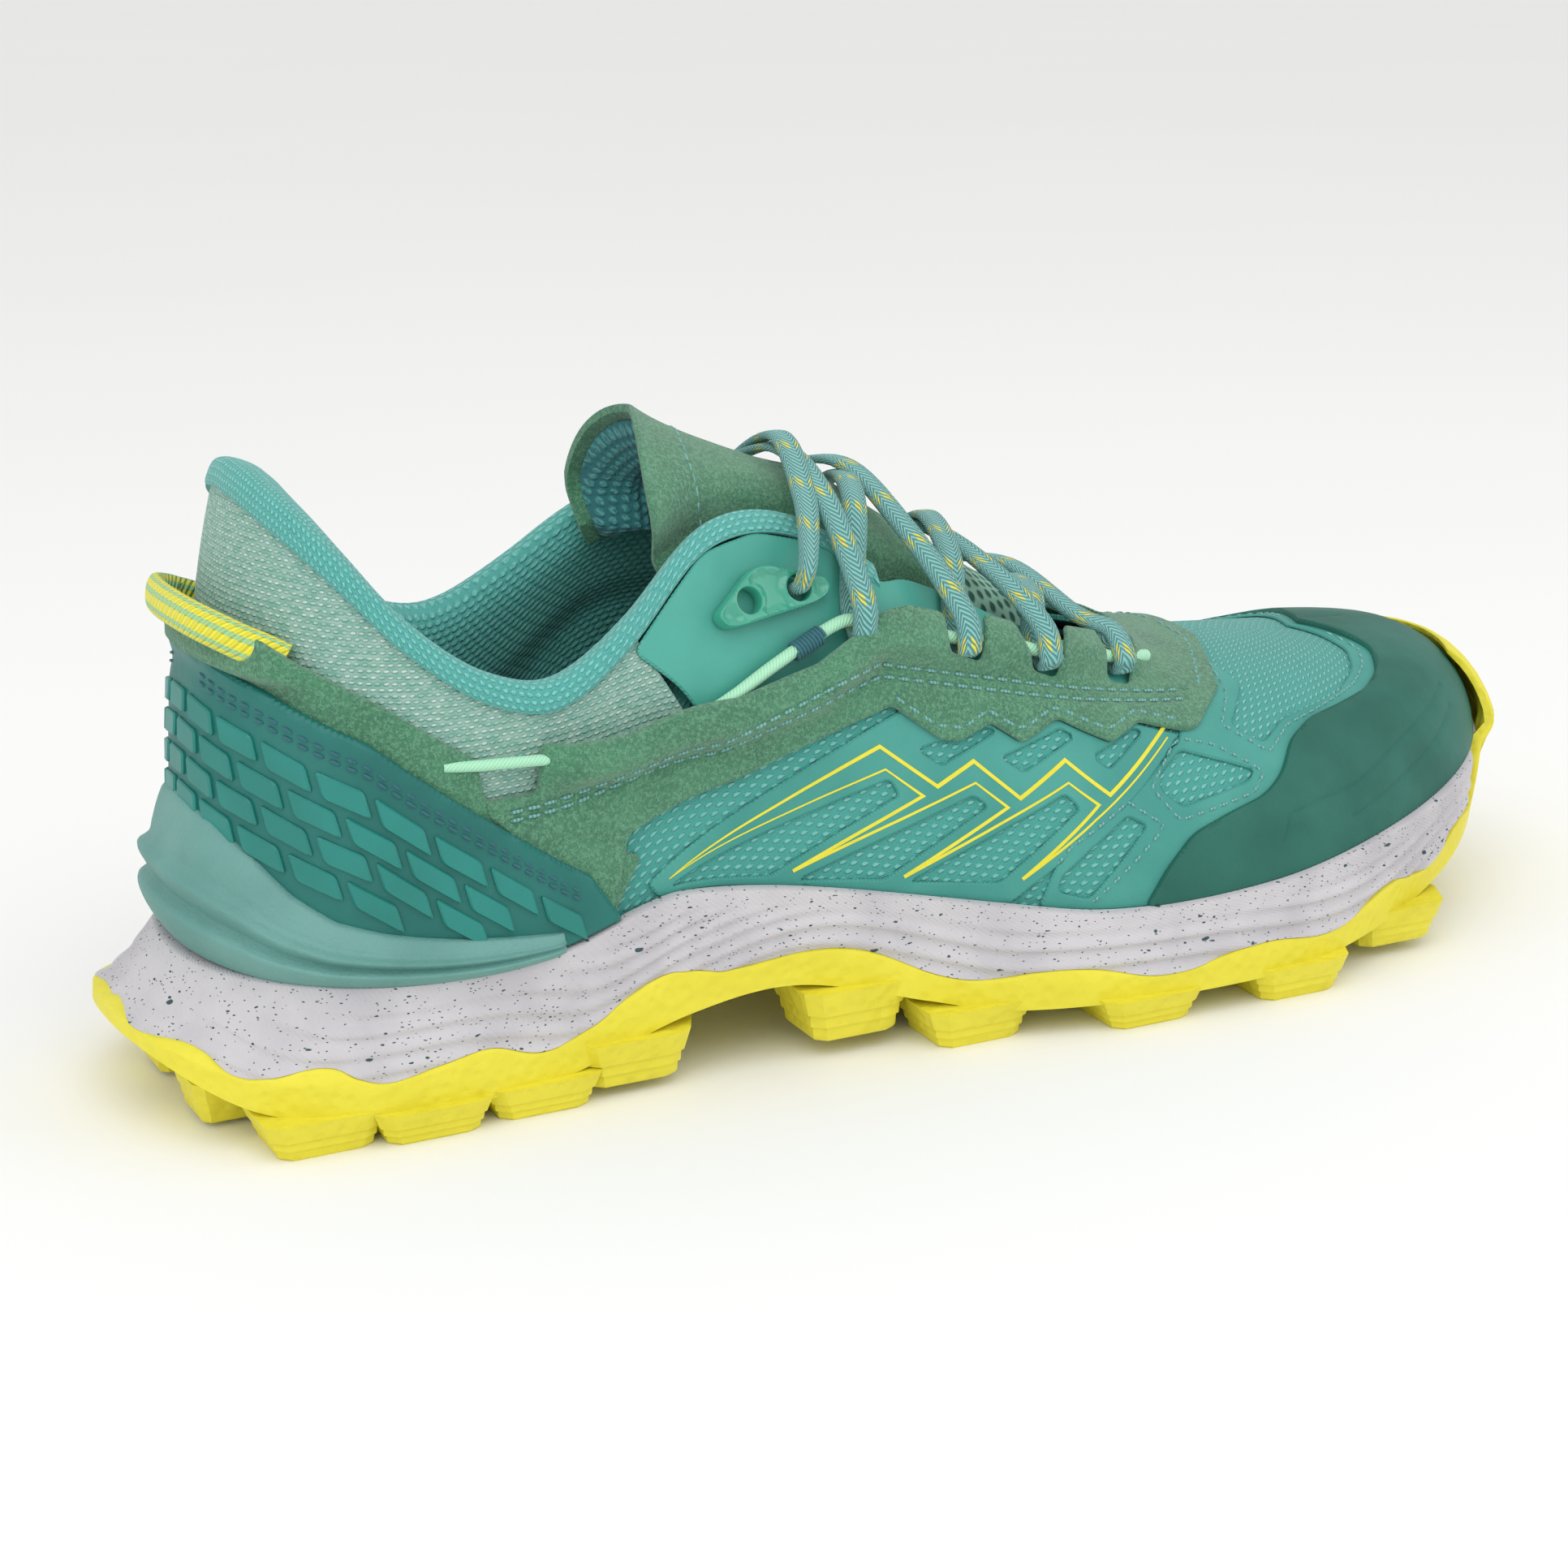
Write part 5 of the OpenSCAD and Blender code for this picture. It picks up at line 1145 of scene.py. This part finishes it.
for name, parts in seams.items():
    p, f = gather(parts)
    solid("stitching_" + name, p, f, "thread", None, "root", 60)
    print("the", name, "seams have", len(parts), "stitches")

# %% The seams of the tongue
def tongue_stitch(s, v):
    return stitch(tongue_at(s, v, 0.45), tongue_at(s, v, 1.45), 0.55, 0)

parts = []
for v in (-0.8, 0.8):
    for s in np.linspace(37.4, 50, 40)[:-1]:
        parts.append(tongue_stitch(np.array([s, s + 0.62]), v))
vs = np.linspace(-0.78, 0.78, 21)
for a, b in zip(vs[:-1], vs[1:]):
    v = np.array([a, mix(a, b, 0.75)])
    parts.append(tongue_stitch(37.2 + 1.6 * np.abs(v) ** 3, v))
p, f = gather(parts)
solid("stitching_tongue", p, f, "thread", None, "tongue", 60)

# %% [markdown]
# Finishes are node materials. Three short helpers keep each finish readable: one adds a node, one does sums,
# one mixes colours. Patterns that follow cloth read the piece's own UV map, in metres; grain and flecks read
# Object coordinates.

# %% Node helpers
def shade(code):
    c = [int(code[i:i + 2], 16) / 255 for i in (0, 2, 4)]
    return [((v + 0.055) / 1.055) ** 2.4 if v > 0.04045 else v / 12.92 for v in c] + [1.0]

class Finish:
    def __init__(self, name, rough, **sockets):
        self.mat = bpy.data.materials.new(name)
        self.mat.use_nodes = True
        self.tree = self.mat.node_tree
        self.skin = next(n for n in self.tree.nodes if n.type == "BSDF_PRINCIPLED")
        self.skin.inputs["Roughness"].default_value = rough
        for key, value in sockets.items():
            self.skin.inputs[key.replace("_", " ")].default_value = value
        coords = self.tree.nodes.new("ShaderNodeTexCoord")
        self.place, self.uv = coords.outputs["Object"], coords.outputs["UV"]

    def node(self, kind, inputs, **settings):
        made = self.tree.nodes.new("ShaderNode" + kind)
        for key, value in settings.items():
            setattr(made, key, value)
        for key, value in inputs.items():
            if isinstance(value, bpy.types.NodeSocket):
                self.tree.links.new(value, made.inputs[key])
            else:
                made.inputs[key].default_value = value
        return made

    def sum(self, how, a, b=0.0, c=0.0):
        return self.node("Math", {0: a, 1: b, 2: c}, operation=how).outputs[0]

    def centred(self, value):
        return self.sum("SUBTRACT", self.sum("FRACT", value), 0.5)

    def ramp(self, value, lo, hi, out_lo=0.0, out_hi=1.0):
        return self.node("MapRange", {"Value": value, "From Min": lo, "From Max": hi, "To Min": out_lo,
                                      "To Max": out_hi},
                         interpolation_type="SMOOTHSTEP").outputs[0]

    def blend(self, part, a, b):
        a, b = (shade(c) if isinstance(c, str) else c for c in (a, b))
        return self.node("Mix", {0: part, 6: a, 7: b}, data_type="RGBA").outputs[2]

    def noise(self, where, scale, detail=3.0, rough=0.5):
        return self.node("TexNoise", {"Vector": where, "Scale": scale, "Detail": detail,
                                      "Roughness": rough}).outputs[0]

    def split(self, vector):
        parts = self.node("SeparateXYZ", {0: vector})
        return parts.outputs[0], parts.outputs[1], parts.outputs[2]

    def colour(self, value):
        self.tree.links.new(value, self.skin.inputs["Base Color"])

    def roughness(self, value):
        self.tree.links.new(value, self.skin.inputs["Roughness"])

    def bump(self, *layers):
        normal = None
        for height, distance, strength in layers:
            inputs = {"Height": height, "Distance": distance, "Strength": strength}
            if normal is not None:
                inputs["Normal"] = normal
            normal = self.node("Bump", inputs).outputs[0]
        self.tree.links.new(normal, self.skin.inputs["Normal"])

    def wear(self, pieces):
        for piece in pieces:
            piece.data.materials.clear()
            piece.data.materials.append(self.mat)

def cells(f, uv, wide, tall, stagger=0.5):
    """Position inside staggered cells of a pattern, -0.5 to 0.5 both ways"""
    u, v, _ = f.split(uv)
    rowed = f.sum("DIVIDE", v, tall)
    row = f.sum("FLOOR", rowed)
    shift = f.sum("MULTIPLY", f.sum("MODULO", f.sum("ABSOLUTE", row), 2.0), stagger)
    col = f.sum("ADD", f.sum("DIVIDE", u, wide), shift)
    return f.centred(col), f.centred(rowed)

def leaf(f, x, y, lean, long, broad):
    """Height of a leaf-shaped strand lying at an angle in its cell"""
    c, s = math.cos(math.radians(lean)), math.sin(math.radians(lean))
    a = f.sum("ADD", f.sum("MULTIPLY", x, c), f.sum("MULTIPLY", y, s))
    b = f.sum("SUBTRACT", f.sum("MULTIPLY", y, c), f.sum("MULTIPLY", x, s))
    a, b = f.sum("DIVIDE", a, long), f.sum("DIVIDE", b, broad)
    r = f.sum("ADD", f.sum("MULTIPLY", a, a), f.sum("MULTIPLY", b, b))
    return f.ramp(r, 1.0, 0.15), b

# %% [markdown]
# Suede is short fibre: very rough, with a fine fuzzy bump, blotches of nap and some sheen at grazing angles.

# %% Suede
f = Finish("split_suede", 0.95, Sheen_Weight=0.35, Sheen_Roughness=0.5, Specular_IOR_Level=0.2)
nap, fuzz, fibre = f.noise(f.place, 120, 4), f.noise(f.place, 1500, 4, 0.6), f.noise(f.place, 3600, 2, 0.7)
tone = f.blend(f.ramp(nap, 0.35, 0.65), "457E60", "4F8D6A")
tone = f.blend(f.ramp(fuzz, 0.42, 0.62, 0.0, 0.8), tone, "6AA581")
f.colour(f.blend(f.ramp(fibre, 0.48, 0.66, 0.0, 0.75), tone, "3A6A53"))
f.bump((fuzz, 0.0006, 0.7), (fibre, 0.0004, 0.8))
f.wear(finishes["suede"])

# %% [markdown]
# The spacer mesh has rows of slanting strands over a darker ground, about 2 mm apart. Each strand is a leaf
# in a staggered cell, and fine threads run across it.

# %% Spacer mesh
f = Finish("spacer_mesh", 0.72, Sheen_Weight=0.15, Specular_IOR_Level=0.3)
x, y = cells(f, f.uv, 0.0021, 0.0016)
high, across = leaf(f, x, y, 38, 0.52, 0.27)
threads = f.sum("SINE", f.sum("MULTIPLY", across, 9.0))
tone = f.blend(high, "42998F", "6CBBB1")
tone = f.blend(f.sum("MULTIPLY", high, f.ramp(threads, 0.2, 1.0, 0, 0.5)), tone, "8CCFC6")
f.colour(f.blend(f.ramp(f.noise(f.uv, 90), 0.35, 0.7, 0, 0.25), tone, "4DA79E"))
f.bump((high, 0.0005, 0.8), (threads, 0.00012, 0.35))
f.wear(finishes["upper_mesh"])

# %% Heather knit
f = Finish("heather_knit", 0.85, Sheen_Weight=0.2, Specular_IOR_Level=0.25)
x, y = cells(f, f.uv, 0.0014, 0.001)
high, across = leaf(f, x, y, 12, 0.5, 0.36)
stretch = f.node("Mapping", {"Vector": f.uv, "Scale": (420.0, 1300.0, 1.0)}).outputs[0]
streak = f.noise(stretch, 1.0, 3, 0.6)
tone = f.blend(f.ramp(streak, 0.38, 0.62), "86B5A6", "B9D3C8")
f.colour(f.blend(high, f.blend(0.55, tone, "5F9486"), tone))
f.bump((high, 0.00035, 0.9), (streak, 0.0002, 0.3))
f.wear(finishes["collar_knit"])

# %% [markdown]
# The collar's lining is a knit with round raised cells in honeycomb order, lighter on top than between them.

# %% Collar and tongue linings
for slot, low, top in (("collar_lining", "4FA49C", "79C8BF"), ("tongue_lining", "2E6F73", "5AA6A3")):
    f = Finish(slot + "_knit", 0.8, Sheen_Weight=0.25, Specular_IOR_Level=0.25)
    x, y = cells(f, f.uv, 0.0015, 0.0012)
    high, across = leaf(f, x, y, 0, 0.5, 0.46)
    threads = f.noise(f.uv, 2600, 2)
    f.colour(f.blend(high, low, f.blend(f.ramp(threads, 0.35, 0.7), top, low)))
    f.bump((high, 0.0004, 0.8), (threads, 0.00015, 0.4))
    f.wear(finishes[slot])

# %% Tongue mesh
f = Finish("open_tongue_mesh", 0.8, Specular_IOR_Level=0.3)
x, y = cells(f, f.uv, 0.0026, 0.0015)
high, across = leaf(f, x, y, 0, 0.42, 0.34)
f.colour(f.blend(high, "86B3A0", "2D5A50"))
f.bump((f.sum("SUBTRACT", 1.0, high), 0.0005, 1.0), (f.noise(f.uv, 2200, 2), 0.0002, 0.4))
f.wear(finishes["tongue_mesh"])

# %% [markdown]
# Films, facing and cap are coated skins: satin, with a fine cast grain and slight changes of tone.

# %% Coated skins
for slot, tone, darker, rough, grain in (("film", "479A8F", "3C8E84", 0.5, 0.00006), ("facing", "4CA596",
        "429A8B", 0.42, 0.00005),
                                         ("toe_film", "1F6658", "1A5B4E", 0.6, 0.0001), ("counter_tpu",
                                                 "1A6F67", "17665F", 0.45, 0.00006),
                                         ("cradle_tpu", "699C95", "5F928B", 0.55, 0.00022)):
    f = Finish(slot + "_skin", rough, Specular_IOR_Level=0.4)
    fine, broad = f.noise(f.place, 1500, 3), f.noise(f.place, 45, 3)
    f.colour(f.blend(f.ramp(broad, 0.35, 0.65), tone, darker))
    f.roughness(f.ramp(broad, 0.3, 0.7, rough - 0.05, rough + 0.08))
    f.bump((fine, grain, 0.8), (f.noise(f.place, 400, 2), grain * 2, 0.4))
    f.wear(finishes[slot])

# %% A lighter skin for the counter's bricks: painted light on their raised faces
f = Finish("brick_painted_light_skin", 0.42, Specular_IOR_Level=0.4)
# Painted light: the raised bricks get a lighter tone than the counter shell between them, as if their faces
# caught the light.
f.colour(f.blend(f.ramp(f.noise(f.place, 60, 3), 0.35, 0.65), "22837A", "1E7A71"))
f.bump((f.noise(f.place, 1500, 3), 0.00006, 0.8))
f.wear([bricks])

# %% Gloss plastic of the eyelet plates
f = Finish("gloss_plate", 0.2, Specular_IOR_Level=0.55, Coat_Weight=0.3, Coat_Roughness=0.12)
f.colour(f.blend(f.noise(f.place, 60, 2), "3FA288", "36957C"))
f.roughness(f.ramp(f.noise(f.place, 700, 2), 0.3, 0.7, 0.16, 0.27))
f.bump((f.noise(f.place, 500, 2), 0.00004, 0.4))
f.wear(finishes["eyelet_plastic"])

# %% [markdown]
# Outsole rubber is yellow with a moulded pebble and broad, slight changes of tone. Midsole foam is a pale
# grey that holds dark flecks of ground-up scrap in several sizes, with a fine cloth-like texture from the
# mould.

# %% Outsole rubber
f = Finish("yellow_rubber", 0.55, Specular_IOR_Level=0.4)
pebble = f.node("TexVoronoi", {"Vector": f.place, "Scale": 480.0}, feature="SMOOTH_F1").outputs["Distance"]
broad = f.noise(f.place, 60, 4)
f.colour(f.blend(f.ramp(broad, 0.35, 0.7), "E5DA3C", "DFD438"))
f.roughness(f.ramp(broad, 0.3, 0.7, 0.48, 0.62))
f.bump((pebble, 0.0006, 0.7), (f.noise(f.place, 1800, 2), 0.00008, 0.4))
f.wear(finishes["outsole_rubber"])

# %% Midsole foam
f = Finish("flecked_foam", 0.75, Specular_IOR_Level=0.3)
u, v, _ = f.split(f.uv)
twill = f.sum("SINE", f.sum("ADD", f.sum("MULTIPLY", u, 5200.0), f.sum("MULTIPLY", v, 5200.0)))
bent = f.node("Mapping", {"Vector": f.place, "Rotation": (0.4, 0.5, 0.3), "Scale": (1.0, 1.0,
        2.0)}).outputs[0]
jitter = f.node("TexNoise", {"Vector": f.place, "Scale": 500.0}).outputs[1]
jitter = f.node("VectorMath", {0: jitter, "Scale": 0.0016}, operation="SCALE").outputs[0]
warp = f.node("VectorMath", {0: bent, 1: jitter}, operation="ADD").outputs[0]
flecks = None
for scale, size, chance in ((170.0, 0.15, 0.7), (420.0, 0.18, 0.7), (1000.0, 0.24, 0.55)):
    seed = f.node("TexVoronoi", {"Vector": warp, "Scale": scale})
    pick, _, _ = f.split(seed.outputs["Color"])
    one = f.sum("MULTIPLY", f.ramp(seed.outputs["Distance"], size, size * 0.72), f.sum("GREATER_THAN",
            pick, chance))
    flecks = one if flecks is None else f.sum("MAXIMUM", flecks, one)
ground = f.blend(f.ramp(f.noise(f.place, 70, 3), 0.35, 0.7), "C7C4C7", "B9B6BB")
f.colour(f.blend(flecks, ground, "3A5257"))
f.bump((twill, 0.00006, 0.35), (f.noise(f.place, 1400, 3), 0.0001, 0.5), (flecks, 0.0001, -0.4))
f.wear(finishes["midsole_foam"])

# %% [markdown]
# Braids read their UV map: across the band one way, along it the other. Slanting stripes that mirror at the
# middle make the herringbone, and cells along the length make the flecks of yellow thread.

# %% Lace
f = Finish("lace_braid", 0.75, Sheen_Weight=0.2, Specular_IOR_Level=0.3)
u, v, _ = f.split(f.uv)
tent = f.sum("ABSOLUTE", f.centred(f.sum("DIVIDE", u, 0.00325)))
slant = f.sum("ADD", f.sum("MULTIPLY", tent, 5.5), f.sum("DIVIDE", v, 0.0011))
high = f.ramp(f.sum("ABSOLUTE", f.centred(slant)), 0.5, 0.1)
tone = f.blend(high, "478F8A", "86C3BE")
every = f.sum("LESS_THAN", f.sum("MODULO", f.sum("FLOOR", slant), 10.0), 1.1)
band = f.sum("LESS_THAN", f.sum("ABSOLUTE", f.sum("SUBTRACT", tent, 0.25)), 0.13)
fleck = f.sum("MULTIPLY", f.sum("MULTIPLY", every, band), high)
f.colour(f.blend(fleck, tone, "E9DD45"))
f.bump((high, 0.0004, 0.9), (f.noise(f.uv, 3000, 2), 0.0001, 0.3))
f.wear(finishes["lace"])

# %% Cord, rope and thread
f = Finish("mint_braid", 0.7, Sheen_Weight=0.2)
u, v, _ = f.split(f.uv)
weave = f.sum("SINE", f.sum("ADD", f.sum("MULTIPLY", u, 4712.4), f.sum("MULTIPLY", v, 9000.0)))
f.colour(f.blend(f.ramp(weave, -1, 1), "9CDCB4", "B2E8C6"))
f.bump((weave, 0.00012, 0.5))
f.wear(finishes["mint_cord"])
f = Finish("rope_braid", 0.7, Sheen_Weight=0.2)
u, v, _ = f.split(f.uv)
weave = f.sum("SINE", f.sum("ADD", f.sum("MULTIPLY", u, 3141.6), f.sum("MULTIPLY", v, 4200.0)))
stripe = f.ramp(f.sum("SINE", f.sum("MULTIPLY", u, 3141.6)), 0.1, 0.5)
tone = f.blend(stripe, "EFE93C", "9BD79C")
f.colour(f.blend(f.ramp(weave, -1, 1, 0, 0.3), tone, "C9B82C"))
f.bump((weave, 0.0003, 0.8), (stripe, 0.0002, 0.5))
f.wear(finishes["rope"])
f = Finish("sewing_thread", 0.6, Sheen_Weight=0.15)
twist = f.sum("SINE", f.sum("MULTIPLY", f.split(f.place)[0], 9000.0))
f.colour(f.blend(f.ramp(twist, -1, 1), "4F8C87", "7DB5AE"))
f.bump((twist, 0.00012, 0.5))
f.wear(finishes["thread"])
dark = Finish("whipping_thread", 0.6, Sheen_Weight=0.15)
dark.colour(dark.blend(dark.noise(dark.place, 2500, 2), "174F5B", "2A6E78"))
dark.bump((dark.noise(dark.place, 3500, 2), 0.0001, 0.6))
dark.wear([p for p in finishes["thread"] if "whipping" in p.name or "counter" in p.name])

# %% [markdown]
# The hidden pieces keep the solid model's meshes: board, footbed, stiffeners, forefoot lining and lace tips.
# They show only down in the shoe or from other poses, and each still gets a finish of its own.

# %% Hidden pieces
for slot, nodes, light, deep, rough, grain in (
        ("board", ["strobel_board"], "D6D1C1", "C4BEAC", 0.9, 0.0003), ("footbed", ["insole"], "2A3437",
                "20282B", 0.9, 0.0005),
        ("stiffener", ["heel_stiffener", "toe_puff"], "E3DFD5", "D2CDC1", 0.8, 0.0002),
        ("vamp_lining", ["vamp_lining"], "2A5E5B", "1E4B49", 0.9, 0.0004), ("aglet", ["aglets"], "29504E",
                "214543", 0.3, 0.00003)):
    f = Finish(slot + "_skin", rough)
    weave = f.noise(f.place, 1100, 3)
    f.colour(f.blend(f.ramp(weave, 0.35, 0.65), light, deep))
    f.bump((weave, grain, 0.6))
    for name in nodes:
        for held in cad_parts[name].material_slots:
            held.material = f.mat

# %% [markdown]
# The shoe stands on a pale floor in plain soft studio light: a big lamp above and in front, a weaker one from
# each side. The camera looks a little down at the lateral side.

# %% Floor, light and camera
bpy.ops.object.select_all(action="DESELECT")
bpy.ops.mesh.primitive_plane_add(size=80, location=(0, 0, 0))
floor = bpy.context.object
floor.name = "floor"
f = Finish("pale_floor", 0.9)
f.colour(f.blend(f.noise(f.place, 3, 2), "F4F4F3", "F1F1F0"))
floor.data.materials.append(f.mat)

def lamp(name, size, power, spot, aim=(0, 0, 0.05)):
    data = bpy.data.lights.new(name, "AREA")
    data.size, data.energy = size, power
    made = bpy.data.objects.new(name, data)
    bpy.context.collection.objects.link(made)
    made.location = spot
    made.rotation_euler = (Vector(aim) - Vector(spot)).to_track_quat("-Z", "Y").to_euler()

lamp("key_light", 0.9, 3.6, (-0.25, -0.55, 0.95))
lamp("left_light", 0.8, 1.4, (-1.0, -0.5, 0.45))
lamp("right_light", 0.8, 1.6, (0.9, -0.6, 0.5))
world = bpy.data.worlds.new("studio")
world.use_nodes = True
world.node_tree.nodes["Background"].inputs[0].default_value = (1, 1, 1, 1)
world.node_tree.nodes["Background"].inputs[1].default_value = 0.88
bpy.context.scene.world = world
bpy.context.scene.view_settings.view_transform = "Standard"

AZIMUTH, ELEVATION, AWAY = math.radians(-27.7), math.radians(15.4), 0.588
flat = math.cos(ELEVATION)
back = Vector((math.sin(AZIMUTH) * flat, -math.cos(AZIMUTH) * flat, math.sin(ELEVATION)))
camera = bpy.data.objects.new("camera", bpy.data.cameras.new("camera"))
bpy.context.collection.objects.link(camera)
camera.data.lens, camera.data.sensor_width = 72.97, 36
camera.data.shift_x, camera.data.shift_y = -0.0388, -0.0612
camera.location = Vector((-0.0024, 0.0023, 0.055)) + back * AWAY
camera.rotation_euler = (-back).to_track_quat("-Z", "Y").to_euler()
bpy.context.scene.camera = camera
